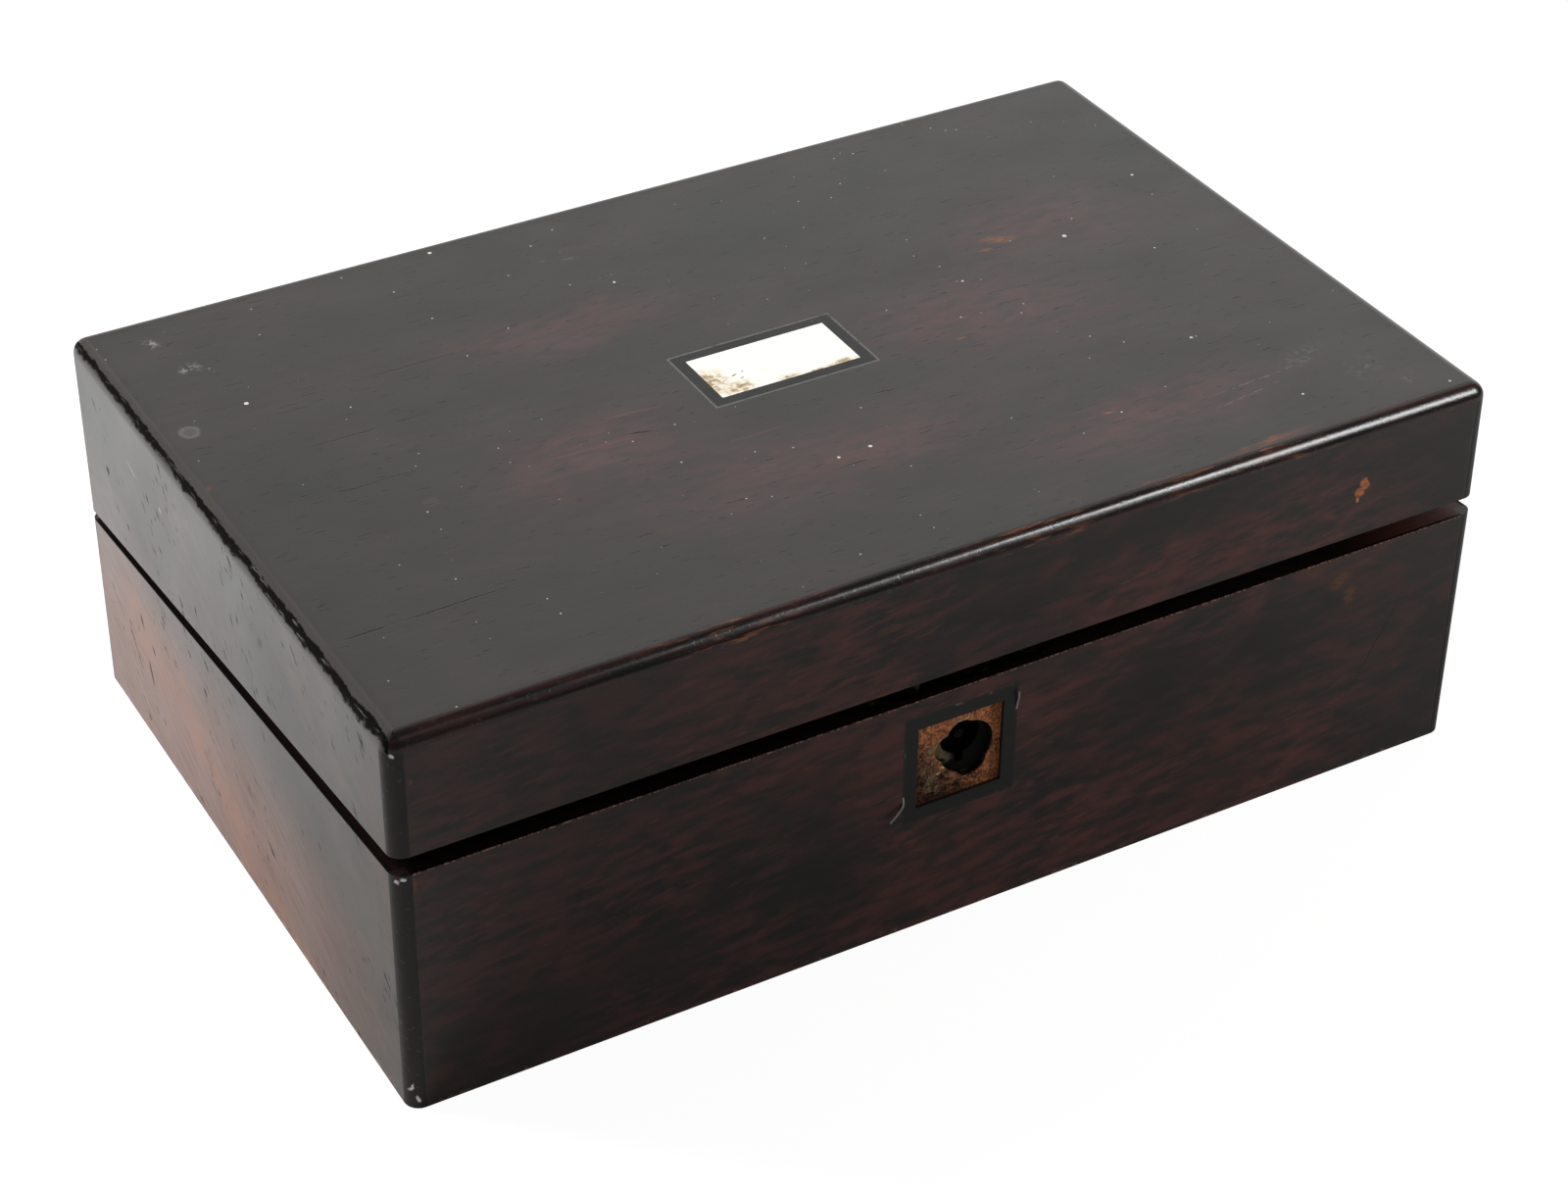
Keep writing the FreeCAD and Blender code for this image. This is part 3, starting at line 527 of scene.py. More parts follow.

# %% [markdown]
# ## The fronts
#
# Lid and base were veneered from one leaf and sawn apart, so the figure runs on across the gap: one
# finish serves both, because its pattern lives in the coordinates of the whole box. The front
# is nearly black with red flames, darkened towards the left by painted shade. Its sawn top edge,
# under the lid, is painted black as the shade of the gap, with a painted highlight in a row of
# bright dots along the arris, and a joint line shows beside each corner bead.

# %% The sloping rim of the base
RIM_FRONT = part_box("base_front_veneer")[1].z / MM
RIM_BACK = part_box("base_back_veneer")[1].z / MM
FRONT_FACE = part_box("base_front_veneer")[0].y / MM
BACK_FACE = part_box("base_back_veneer")[0].y / MM
RIM_FALL = (RIM_FRONT - RIM_BACK) / (BACK_FACE - FRONT_FACE)
GAP_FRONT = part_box("lid_front_veneer")[0].z / MM - RIM_FRONT
GAP_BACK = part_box("lid_back_veneer")[0].z / MM - RIM_BACK
GAP_FALL = (GAP_FRONT - GAP_BACK) / (BACK_FACE - FRONT_FACE)


def gap_shade_mask(f, with_lid=False):
    """A mask of the sawn edges under the gap, and over it too if asked, where the shade of the gap is
    painted.
    """
    inward = f.axis("Y") - FRONT_FACE
    above = f.axis("Z") - RIM_FRONT + RIM_FALL * inward
    over_gap = above - GAP_FRONT + GAP_FALL * inward if with_lid else above
    return f.rise(above, -0.40, -0.12) * f.rise(over_gap, 0.40, 0.12)


print("the gap is", round(GAP_FRONT, 2), "mm at the front and", round(GAP_BACK, 2), "mm at the hinges")

# %% Front veneers
FRONT = 1
GAP_SHADE_BLACK = (0.0035, 0.0025, 0.0022)
FRONT_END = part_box("base_front_veneer")[1].x / MM
FRONT_CHIPS = [
    ((114.9, 91.6), (2.2, 1.7), 60),
    ((113.6, 89.4), (1.9, 1.6), 40),
    ((113.2, 87.2), (0.7, 1.0), 0),
]
FRONT_RUBBED = [
    ((-148.0, 67.6), (0.8, 3.4), 0),
    ((-147.3, 97.1), (0.9, 1.0), 0),
    ((110.3, 63.2), (5.0, 3.0), -20),
    ((114, 58.0), (3.0, 4.0), 0),
]
FRONT_CUTS = [((88.7, 22.2), (3.2, 0.25), -40), ((124, 38), (28, 0.4), -62), ((99, 31), (5, 0.2), -55)]


def front_veneer():
    f = new_finish("polished veneer of the front")
    fine = f.ragged(0.8, 3.0)
    height = figured(f, 0, seed=21, red=0.80, streaks=0.3)
    mottle = f.rise(f.noise(along(0, 10.0, 2.6), 5.0, (0, -4, 0), 25, 0.3), 0.36, 0.70)
    field = f.rise(f.noise(along(0, 60.0, 34.0), seed=26), 0.32, 0.58)
    field = field * f.rise(f.axis("X"), 150.0, 90.0)
    f.paint(mottle * field * 0.85, (0.088, 0.029, 0.026))
    streak = f.rise(f.noise(along(0, 7.0, 1.3), 4.0, (0, -6, 0), 31, 0.3), 0.55, 0.74)
    f.paint(streak * field * 0.60, (0.125, 0.036, 0.026))
    # Painted shade: the front is darker towards the left, where its reflection should be darker.
    f.paint(f.rise(f.axis("X"), 40.0, -140.0) * 0.5, (0.0100, 0.0096, 0.0086))
    rubbed = f.marks(FRONT, FRONT_RUBBED, 0.9, fine)
    grain = f.rise(f.noise(along(0, 3.0, 0.5), 2.0, seed=27), 0.38, 0.60)
    f.paint(rubbed * (0.2 + 0.8 * grain) * 0.35, ORANGE_WOOD)
    chips = f.marks(FRONT, FRONT_CHIPS, 0.35, fine)
    f.paint(chips, f.mix(grain, (0.48, 0.17, 0.058), (0.26, 0.08, 0.028)))
    rim = gap_shade_mask(f)
    # Painted highlight: a line along the front arris of the rim, broken into bright dots where the
    # veneer is chipped.
    arris_highlight = rim * f.rise(f.axis("Y"), FRONT_FACE + 0.40, FRONT_FACE + 0.15)
    highlight_dots = f.rise(f.noise(0.7, 2.0, seed=28), 0.42, 0.62)
    # Painted shade: the sawn rim in the gap is painted black.
    f.paint(rim, GAP_SHADE_BLACK)
    f.paint(arris_highlight * (0.2 + 0.8 * highlight_dots) * 0.6, (0.42, 0.24, 0.19))
    lower = f.rise(f.noise(3.0, seed=29), 0.55, 0.70) * f.rise(f.axis("Z"), 2.0, 0.0)
    f.paint(lower * 0.4, (0.28, 0.20, 0.15))
    joint = f.rise(abs(f.axis("X")), FRONT_END - 0.42, FRONT_END - 0.12)
    cuts = f.marks(FRONT, FRONT_CUTS, 0.9, fine) * 0.7
    f.paint(joint * 0.85 | cuts, (0.004, 0.003, 0.003))
    dust = f.specks(16.0, 0.6, FRONT, 16.0, 3)
    f.paint(dust, DUST)
    worn = f.noise((40.0, 20.0, 20.0), seed=30)
    roughness = 0.22 + 0.16 * worn + 0.25 * (rubbed | chips) - 0.12 * rim
    normal = f.bump(height * 0.3 - (joint | cuts) - chips * 1.5, 0.05)
    f.surface(roughness, normal, shine=0.36, matt=rim * 0.9)
    return f


dress(front_veneer(), "lid_front_veneer", "base_front_veneer")

# %% [markdown]
# ## The ends and the back
#
# On the ends the leaf was laid with its grain running down towards the front, and light has bleached
# the left one: brown and orange streaks under a grey sheen. Small dents and two white scratches
# mark it too. The back and the right end were turned away from the light, so they keep more of the
# dark colour. One function makes both ends, because they differ only in colours and marks.

# %% End and back veneers
SIDE = 0
LEFT_CLOUDS = [
    ((60, 34), (34, 20), 40),
    ((34, 28), (30, 17), 42),
    ((6, 14), (32, 15), 28),
    ((-28, 2), (26, 9), 18),
]
LEFT_DENTS = [
    ((64, 39), (3.0, 1.0), 70),
    ((61, 24), (6.0, 1.1), 76),
    ((57, 34), (2.4, 0.9), 60),
    ((34, 92), (1.6, 0.5), 70),
    ((-6, 84), (2.6, 0.45), 62),
    ((78, 78), (2.0, 1.4), 60),
    ((20, 70), (1.8, 0.6), 65),
]
LEFT_SCRATCHES = [((58.6, 89.6), (4.6, 0.20), 16), ((39.5, 88.6), (1.8, 0.32), 58)]
END_GRAIN_FALL = 26.0
BLEACH_TILT = 0.095
BLEACHED = ((0.020, 0.0185, 0.0175), (0.042, 0.034, 0.029), (0.085, 0.045, 0.032))


def end_veneer(name, seed, colours, marked):
    f = new_finish(name)
    turn = (END_GRAIN_FALL, 0, 0)
    height = figured(f, 1, turn, seed, 0.6, colours, 0.3)
    roughness = 0.24 + 0.16 * f.noise(30.0, seed=seed + 5)
    height = height * 0.5
    rim = gap_shade_mask(f)
    matt = rim * 0.9
    if marked:
        low = f.rise(f.axis("Z") - BLEACH_TILT * f.axis("Y"), 66.0, 20.0)
        under_lid = low * f.rise(f.axis("Y"), -110.0, -10.0)
        f.paint(under_lid * 0.70, (0.195, 0.088, 0.063))
        streaky = f.rise(f.noise((9.0, 9.0, 6.0), 6.0, (40, 0, 0), seed + 6), 0.36, 0.62)
        clouds = f.marks(SIDE, LEFT_CLOUDS, 1.0, f.ragged(5.0, 14.0)) * (0.30 + 0.70 * streaky)
        f.paint(clouds * 0.85, (0.245, 0.108, 0.066))
        fine = f.ragged(0.7, 3.0)
        dents = f.marks(SIDE, LEFT_DENTS, 0.8, fine)
        nicks = f.rise(f.noise((1.4, 5.0, 1.2), 5.0, (50, 0, 0), seed + 7), 0.62, 0.70)
        nicks = nicks * f.rise(f.noise(26.0, seed=seed + 9), 0.42, 0.60)
        lines = f.rise(f.noise(along(1, 16.0, 0.9), 5.0, turn, seed + 10), 0.46, 0.66)
        matt = matt | dents * 0.8 | nicks * 0.7 | clouds * 0.22 | lines * under_lid * 0.30
        f.paint((dents | nicks) * 0.75, (0.010, 0.008, 0.007))
        scratches = f.marks(SIDE, LEFT_SCRATCHES, 0.9, fine)
        f.paint(scratches * 0.9, (0.80, 0.78, 0.75))
        height = height - 2.5 * dents - 1.2 * nicks
        roughness = roughness + 0.2 * scratches
    # Painted shade: the sawn rim in the gap is painted black.
    f.paint(rim, GAP_SHADE_BLACK)
    lower = f.rise(f.noise(3.0, seed=seed + 8), 0.52, 0.68) * f.rise(f.axis("Z"), 2.6, 0.0)
    f.paint(lower * 0.5, (0.34, 0.22, 0.15))
    dust = f.specks(14.0, 0.5, SIDE, 9.0, seed)
    f.paint(dust, DUST)
    f.surface(roughness, f.bump(height, 0.05), matt=matt)
    return f


def back_veneer():
    f = new_finish("polished veneer of the back")
    height = figured(f, 0, seed=61, red=0.6)
    cracks = f.rise(f.noise(along(0, 14.0, 0.5), 1.0, seed=66), 0.74, 0.78)
    f.paint(cracks * 0.9, PORE)
    dust = f.specks(8.0, 0.5, FRONT, 7.0, 6)
    f.paint(dust, DUST)
    roughness = 0.26 + 0.18 * f.noise((60.0, 20.0, 20.0), seed=67)
    f.surface(roughness, f.bump(height * 0.3 - cracks, 0.05), shine=0.45)
    return f


left_end = end_veneer("polished veneer of the left end", 41, BLEACHED, True)
right_end = end_veneer("polished veneer of the right end", 51, DARK_WOODS, False)
dress(left_end, "lid_left_veneer", "base_left_veneer")
dress(right_end, "lid_right_veneer", "base_right_veneer")
dress(back_veneer(), "lid_back_veneer", "base_back_veneer")

# %% [markdown]
# ## Edging and corner beads
#
# Solid strips with a round of 4 mm protect the edges of the veneer. Hands polish the front one until
# it shines, with the orange wood showing where the polish has gone; the left one is bruised and dull.
# The round could be a bevel here, but it is in the solids already, so a finish with its own gloss
# is all that is needed.

# %% Edging
EDGE_BLACK = (0.0075, 0.0062, 0.0056)
EDGE_RED = (0.034, 0.010, 0.008)
CORNER_CHIPS = [
    ((-150.4, 70.3), (0.9, 0.5), 0),
    ((-151.6, 69.4), (0.5, 0.8), 0),
    ((-151.4, 6.5), (0.5, 1.6), 20),
    ((-150.2, 3.0), (0.4, 1.2), -20),
    ((-150.8, 105.0), (0.6, 0.6), 0),
]
FRONT_EDGE_WEAR = [((-62, 0), (34, FAR), 0), ((78, 0), (40, FAR), 0), ((20, 0), (26, FAR), 0)]


def edging(name, grain, seed, gloss, bruised, red, wear=(), chips=(), shine=0.38):
    f = new_finish(name)
    fibre = f.noise(along(grain, 22.0, 1.2), 4.0, seed=seed)
    f.colour = f.mix(f.rise(fibre, 0.38, 0.70) * red, EDGE_BLACK, EDGE_RED)
    grazed = f.rise(f.noise(along(grain, 7.0, 0.9), seed=seed + 1), 0.54, 0.68)
    if wear:
        f.paint(f.marks(FRONT, wear, 1.0) * grazed * 0.6, (0.26, 0.085, 0.040))
    if chips:
        at_front = f.rise(f.axis("Y"), 0.0, -40.0)
        chipped = f.marks(FRONT, chips, 0.5, f.ragged(0.6, 1.2)) * at_front
        f.paint(chipped, (0.66, 0.63, 0.58))
    nicks = f.rise(f.noise(1.5, 4.0, seed=seed + 2), 0.60, 0.70)
    f.paint(nicks * bruised, (0.17, 0.165, 0.16))
    roughness = gloss + 0.10 * fibre + 0.35 * bruised * f.noise(3.0, seed=seed + 3)
    height = f.noise(2.2, seed=seed + 4) * (0.2 + bruised) - nicks * bruised
    f.surface(roughness, f.bump(height, 0.10), shine=shine)
    return f


def bruised_edging():
    """The left strip: grey like the end below its ridge, and knocked black along the ridge itself."""
    f = new_finish("bruised edging, left")
    fibre = f.noise(along(1, 22.0, 1.2), 4.0, seed=76)
    f.colour = f.mix(fibre, BLEACHED[0], BLEACHED[1])
    jagged = f.noise((1.2, 1.8, 1.2), 5.0, seed=77) + 2.0 * f.noise((5.0, 12.0, 5.0), 4.0, seed=79)
    outward = jagged - f.axis("X")
    broader_to_front = f.rise(f.axis("Y"), 95.0, -80.0)
    ridge = f.rise(outward, 151.9, 152.3) * f.rise(outward - 0.4 * broader_to_front, 153.4, 153.0)
    f.paint(ridge, (0.004, 0.0036, 0.0033))
    # Partly painted highlight: bruises along the ridge are painted pale grey where they catch the light.
    nicks = f.rise(f.noise(along(1, 6.0, 0.6), 5.0, seed=78), 0.58, 0.70) * ridge
    nicks = nicks * (0.3 + 0.7 * broader_to_front)
    f.paint(nicks * 0.8, (0.16, 0.155, 0.15))
    roughness = 0.28 + 0.30 * ridge
    normal = f.bump(nicks - 0.5 * ridge + 0.3 * fibre, 0.16)
    f.surface(roughness, normal, shine=0.45, matt=ridge * (1 - 0.6 * nicks))
    return f


dress(edging("polished edging, front", 0, 71, 0.17, 0.10, 1.0, FRONT_EDGE_WEAR), "lid_edging_front")
dress(bruised_edging(), "lid_edging_left")
dress(edging("polished edging, back", 0, 81, 0.24, 0.25, 0.5), "lid_edging_back")
dress(edging("polished edging, right", 1, 86, 0.22, 0.20, 0.6), "lid_edging_right")
BEADS = ["lid_corner_beads", "base_corner_beads"]
dress(edging("polished corner beads", 2, 91, 0.30, 0.15, 0.3, chips=CORNER_CHIPS, shine=0.26), *BEADS)

# %% [markdown]
# ## Ebony, strings and name plate
#
# The plate is a slip of polished shell or bone, stained brown where glue and dirt crept under it. A
# black wooden surround and a thin white-metal string frame it. The string could be broken into short
# pieces where it is tarnished, but a mask between metal and dirt does that without cutting the solid.

# %% Ebony
def ebony_finish():
    f = new_finish("black stained wood")
    fibre = f.noise((14.0, 0.7, 0.7), 4.0, seed=101)
    f.colour = f.mix(fibre, (0.005, 0.0052, 0.005), (0.014, 0.0145, 0.013))
    dust = f.specks(5.0, 0.4, None, 6.0, 7)
    f.paint(dust, DUST)
    roughness = 0.34 + 0.16 * f.noise(8.0, seed=102)
    f.surface(roughness, f.bump(fibre, 0.03), shine=0.36)
    return f


dress(ebony_finish(), "plate_surround", "lock_surround")


# %% String metal
DULL_STRING = ((0.055, 0.054, 0.051), (0.21, 0.205, 0.195))


def string_finish(name, seed, dull, bright, clean):
    f = new_finish(name)
    dirt = f.rise(f.noise(4.0, seed=seed), 0.66 * clean, 0.90 * clean)
    scratch = f.noise(0.5, 2.0, seed=seed + 1)
    metal = f.mix(scratch, dull, bright)
    f.colour = f.mix(dirt, metal, (0.016, 0.015, 0.014))
    f.surface(0.40 + 0.30 * dirt, f.bump(scratch, 0.05), (1 - dirt) * 0.5)
    return f


dress(string_finish("tarnished string of the plate", 111, *DULL_STRING, 0.85), "plate_stringing")
dress(string_finish("tarnished string of the lock", 114, *DULL_STRING, 0.46), "lock_stringing")

# %% Name plate
PLATE_STAINS = [((-19.5, -1.0), (9.0, 11.0), 0), ((-14, -7), (8.0, 5.0), 0)]
PLATE_EDGE_STAINS = [((15, -8.6), (8.5, 2.2), 0), ((0, -8.4), (5.0, 1.8), 0), ((7, -9.0), (7.0, 1.2), 0)]
PLATE_NICKS = [
    ((-12.2, -1.0), (1.3, 0.28), 20),
    ((-11.0, -3.0), (0.8, 0.26), 10),
    ((-9.6, -0.4), (0.7, 0.24), 30),
]


def plate_finish():
    f = new_finish("polished shell plate")
    cloud = f.noise((9.0, 5.0, 5.0), 4.0, seed=121, warp=1.0)
    f.colour = f.mix(cloud, (0.95, 0.93, 0.87), (0.91, 0.88, 0.79))
    rough = f.ragged(1.6, 3.5)
    mottle = 0.35 + 0.65 * f.rise(f.noise(1.5, 5.0, seed=122), 0.36, 0.64)
    stains = f.marks(TOP, PLATE_STAINS, 1.0, rough) | f.marks(TOP, PLATE_EDGE_STAINS, 1.0, rough)
    stains = stains * mottle
    f.paint(f.rise(stains, 0.02, 0.60) * 0.8, (0.58, 0.44, 0.25))
    f.paint(f.rise(stains, 0.40, 0.85) * 0.8, (0.28, 0.19, 0.095))
    f.paint(f.marks(TOP, PLATE_NICKS, 0.6, f.ragged(0.3, 1.5)), (0.03, 0.022, 0.015))
    roughness = 0.22 + 0.25 * stains
    f.surface(roughness, f.bump(cloud, 0.03))
    return f


dress(plate_finish(), "name_plate")

# %% [markdown]
# ## Bare and stained carcase wood
#
# The carcase is plain wood that nobody was meant to see, apart from two places: the rims, painted
# black as the shade of the gap and red at the right end, and the bed of the lost key plate, where
# orange wood, old glue and dirt lie open, with a painted glint at the edge of the hole and painted
# shade on its walls. They could be separate meshes, but the solids must stay whole, so masks
# find both by their place: the rim by its slope, the bed by its square.

# %% Carcase
RECESS_DEPTH = 2.0
BED_CENTRE = (-3.0, 50.3)
BED_HALF = 12.4
BED_REACH = 4.0
BED_SOFT_EDGE = 0.2
BED_GLUE = [
    ((-8.0, 40.8), (5.0, 4.0), 0),
    ((-10.5, 46.0), (3.5, 5.0), 0),
    ((-10.5, 53.0), (3.0, 3.0), 0),
]
BED_DIRT = [
    ((-10.2, 39.6), (5.5, 3.0), 0),
    ((-5.7, 43.8), (5.0, 2.4), 20),
    ((-3.5, 39.5), (5.5, 1.8), 0),
    ((-13.4, 44.0), (2.2, 5.0), 0),
    ((1.8, 40.6), (5.0, 1.6), 0),
]
BED_WHITE = [
    ((-13.8, 54.2), (0.7, 1.0), 0),
    ((-0.4, 59.2), (3.6, 0.4), 0),
    ((-11.1, 54.8), (1.2, 0.5), 0),
]
# Painted glint: bright gold spots at the lower left edge of the hole.
BED_GLINT = [((-6.6, 46.3), (1.3, 0.6), 30), ((-7.8, 45.0), (0.9, 0.5), 0)]


def carcase_finish():
    f = new_finish("carcase wood")
    fibre = f.noise((40.0, 1.4, 1.4), 4.0, seed=131)
    ring = f.noise((90.0, 9.0, 9.0), 2.0, seed=132, warp=0.4)
    f.colour = f.mix(f.rise(fibre, 0.3, 0.7), (0.145, 0.062, 0.030), (0.235, 0.112, 0.055))
    f.paint(f.rise(ring, 0.5, 0.65) * 0.5, (0.105, 0.042, 0.021))
    pores = f.rise(f.noise((5.0, 0.35, 0.35), 1.0, seed=133), 0.66, 0.74)
    f.paint(pores * 0.6, (0.04, 0.016, 0.009))
    depth = f.axis("Y") - FRONT_FACE
    rim = gap_shade_mask(f, with_lid=True)
    stain_and_shade = f.mix(fibre, GAP_SHADE_BLACK, (0.010, 0.005, 0.004))
    red_end = f.rise(f.axis("X"), 108.0, 146.0)
    stain_and_shade = f.mix(red_end * fibre, stain_and_shade, (0.15, 0.034, 0.020))
    # Painted shade: the rims in the gap are painted black, turning red towards the right end.
    f.paint(rim, stain_and_shade)
    aside = f.axis("X") - BED_CENTRE[0]
    raised = f.axis("Z") - BED_CENTRE[1]
    bed = f.rise(depth, BED_REACH + BED_SOFT_EDGE, BED_REACH)
    for across in (aside, raised):
        bed = bed * f.rise(abs(across), BED_HALF + BED_SOFT_EDGE, BED_HALF)
    crust = f.ragged(1.8, 3.0)
    clot = f.rise(f.noise(1.9, 5.0, seed=134), 0.42, 0.58)
    crumbs = f.noise(0.9, 4.0, seed=135)
    torn = f.mix(f.rise(crumbs, 0.30, 0.66), (0.22, 0.072, 0.030), (0.54, 0.205, 0.086))
    torn = f.mix(f.rise(aside + raised, 1.0, -14.0) * 0.85, torn, (0.050, 0.021, 0.015))
    torn = f.mix(f.marks(FRONT, BED_GLUE, 0.8, crust) * clot * 0.9, torn, (0.17, 0.125, 0.060))
    torn = f.mix(f.marks(FRONT, BED_DIRT, 0.8, crust) * (1 - clot), torn, (0.012, 0.007, 0.006))
    torn = f.mix(f.marks(FRONT, BED_WHITE, 0.7, f.ragged(0.5, 1.0)) * clot, torn, (0.72, 0.66, 0.54))
    # Painted glint at the lower left edge of the hole.
    torn = f.mix(f.marks(FRONT, BED_GLINT, 0.7, f.ragged(0.5, 1.0)), torn, (0.80, 0.50, 0.17))
    # Painted shade: deeper than the recess, the walls of the hole are painted nearly black.
    torn = f.mix(f.rise(depth, RECESS_DEPTH + 0.1, RECESS_DEPTH + 0.7), torn, (0.006, 0.004, 0.003))
    f.paint(bed, torn)
    roughness = 0.62 + 0.15 * ring - 0.25 * rim - 0.32 * bed * clot
    height = (fibre - pores) * (1 - 0.7 * rim) + bed * (clot + crumbs) * 4.0
    f.surface(roughness, f.bump(height, 0.14), shine=0.4, matt=rim * (1 - 0.6 * red_end))
    return f


BOARDS = ("front_board", "back_board", "left_end", "right_end")
CARCASE = [f"{half}_{board}" for half in ("base", "lid") for board in BOARDS]
dress(carcase_finish(), *CARCASE, "base_bottom_board", "lid_top_board")

# %% [markdown]
# ## Waxed fittings
#
# Partitions, pen tray and the two flaps are the same hardwood as the outside, but waxed and not
# polished, and hidden from light. The same figure does for them, in warmer colours and with
# ink stains where pens have dripped.

# %% Fittings
WAXED = ((0.062, 0.026, 0.014), (0.125, 0.054, 0.028), (0.175, 0.062, 0.029))
INK = (0.010, 0.012, 0.026)


def fittings_finish():
    f = new_finish("waxed hardwood")
    height = figured(f, 0, seed=141, red=0.6, colours=WAXED)
    front = f.rise(f.axis("Y"), -38.0, -44.0) * f.rise(f.axis("Z"), 64.0, 62.0)
    blots = f.rise(f.noise((11.0, 8.0, 8.0), 4.0, seed=146), 0.56, 0.62) * front
    f.paint(blots * 0.85, INK)
    roughness = 0.42 + 0.16 * f.noise((25.0, 9.0, 9.0), seed=147)
    f.surface(roughness, f.bump(height * 0.6, 0.06))
    return f


FITTINGS = ["long_partition", "ink_well_dividers", "pen_tray", "pen_tray_bearers"]
FITTINGS += [f"{half}_flap_{piece}" for half in ("base", "lid") for piece in ("ledges", "panel")]
dress(fittings_finish(), *FITTINGS)

# %% [markdown]
# ## Brass and iron
#
# The lock and hinges are sheet brass gone olive-brown, with brighter metal where parts rub, and the
# bolt and pins are iron with a little rust. Where they sit in the gap or show through the hole, the
# selvedge, the lock and its drill pin are darkened as painted shade. Tarnish isn't metal any more, so
# the same mask that darkens the colour, painted shade included, also lowers Metallic and raises
# Roughness.


# %% Metals
def metal_finish(name, seed, bright, dull, stain_and_shade, shade_marks=(), shine=0.5):
    f = new_finish(name)
    cloud = f.noise(9.0, 4.0, seed=seed)
    spots = f.rise(f.noise(1.6, 4.0, seed=seed + 1), 0.56, 0.70)
    brushed = f.noise((12.0, 0.25, 0.25), 2.0, seed=seed + 2)
    aged = f.rise(cloud, 0.42, 0.66)
    f.colour = f.mix(aged, f.mix(brushed, bright, dull), dull)
    dirt = spots * 0.8
    # Painted shade: marks round the keyhole darken the metal there and lower its Metallic, on top of the
    # real tarnish spots.
    if shade_marks:
        dirt = dirt | f.marks(FRONT, shade_marks, 0.3, f.ragged(1.6, 3.0))
    f.paint(dirt, stain_and_shade)
    roughness = 0.26 + 0.14 * brushed + 0.30 * (aged | dirt)
    f.surface(roughness, f.bump(brushed * 0.4 - spots * 0.6, 0.03), 1 - dirt, shine)
    return f


# Bright, dull and stained colour of each metal. The selvedge and drill pin colours are darkened as
# painted shade, and the stained colour of the lock and its pin also paints the shade round the keyhole.
BRASS_COLOURS = ((0.52, 0.37, 0.15), (0.24, 0.17, 0.075), (0.040, 0.032, 0.016))
LOCK_COLOURS = ((0.30, 0.235, 0.12), (0.15, 0.12, 0.062), (0.003, 0.0025, 0.002))
# Painted shade: the selvedge sits in the gap, so its brass is darkened.
SHADED_SELVEDGE_COLOURS = ((0.085, 0.062, 0.030), (0.030, 0.023, 0.013), (0.006, 0.005, 0.004))
# Painted shade: the drill pin's iron is darkened, as it sits in the shade inside the lock.
SHADED_IRON_COLOURS = ((0.06, 0.057, 0.052), (0.03, 0.027, 0.024), (0.003, 0.0025, 0.002))
SCREW_COLOURS = ((0.48, 0.34, 0.14), (0.22, 0.15, 0.065), (0.035, 0.025, 0.012))
IRON_COLOURS = ((0.38, 0.37, 0.35), (0.17, 0.155, 0.14), (0.085, 0.034, 0.014))
# Painted shade where the lock shows through the hole round the keyhole.
LOCK_SHADE = [((3.6, 50.0), (9.4, 11.0), 0), ((0, 43.5), (9.0, 4.6), 0), ((-9, 46.8), (5.0, 1.6), 0)]

BRASS = metal_finish("old brass", 151, *BRASS_COLOURS)
dress(BRASS, "link_plate", "hinge_base_leaves", "hinge_lid_leaves")
dress(BRASS, "base_flap_pins", "lid_flap_pins")
dress(metal_finish("brass in the shade of the gap", 152, *SHADED_SELVEDGE_COLOURS), "lock_selvedge")
dress(metal_finish("lock brass with painted shade", 154, *LOCK_COLOURS, LOCK_SHADE, 0.1), "lock_case", "lock_back_plate")
SCREWS = ["lock_screws", "link_screws", "hinge_base_screws", "hinge_lid_screws"]
dress(metal_finish("brass screws", 157, *SCREW_COLOURS), *SCREWS)
dress(metal_finish("old iron", 161, *IRON_COLOURS), "lock_bolt", "link_hooks", "hinge_pins")
dress(metal_finish("iron in the shade of the lock", 164, *SHADED_IRON_COLOURS, LOCK_SHADE, 0.1), "lock_drill_pin")

# %% [markdown]
# ## Leather on the writing flaps
#
# Each flap is covered by a skiver, a thin split sheepskin glued into a shallow bed. A flat slab has no
# life, so the leather is a fine grid with slight swells and cockles and with edges that dip into
# the bed, then closed to a thin sheet. The bed is read from the solid that the leather replaces.

# %% A frame on a slab
def slab_frame(node, outward):
    """A matrix with X and Y in the slab's outer face and Z leaving it, and the face's half sizes."""
    points = [vertex.co for vertex in nodes[node].data.vertices]
    widest = max(nodes[node].data.polygons, key=lambda face: face.area)
    normal = widest.normal.copy()
    normal = normal if normal.z * outward > 0 else -normal
    sideways = Vector((1, 0, 0))
    onward = normal.cross(sideways).normalized()
    spans = [[point.dot(axis) for point in points] for axis in (sideways, onward, normal)]
    middle = [(min(span) + max(span)) / 2 for span in spans]
    middle[2] = max(spans[2])
    origin = sideways * middle[0] + onward * middle[1] + normal * middle[2]
    turned = Matrix((sideways, onward, normal)).transposed().to_4x4()
    half = [(max(span) - min(span)) / 2 for span in spans]
    return Matrix.Translation(origin) @ turned, half


def add_piece(name, mesh, finish, body, replaced=()):
    piece = bpy.data.objects.new(name, mesh)
    bpy.context.scene.collection.objects.link(piece)
    if finish:
        mesh.materials.clear()
        mesh.materials.append(finish.material)
    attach(piece, body)
    if replaced:
        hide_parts(*replaced)
    print(name, len(mesh.polygons), "faces on", body)
    return piece


base_bed = slab_frame("base_flap_leather", 1)[1]
print("bed of the base leather", [round(2 * size / MM, 1) for size in base_bed], "mm")


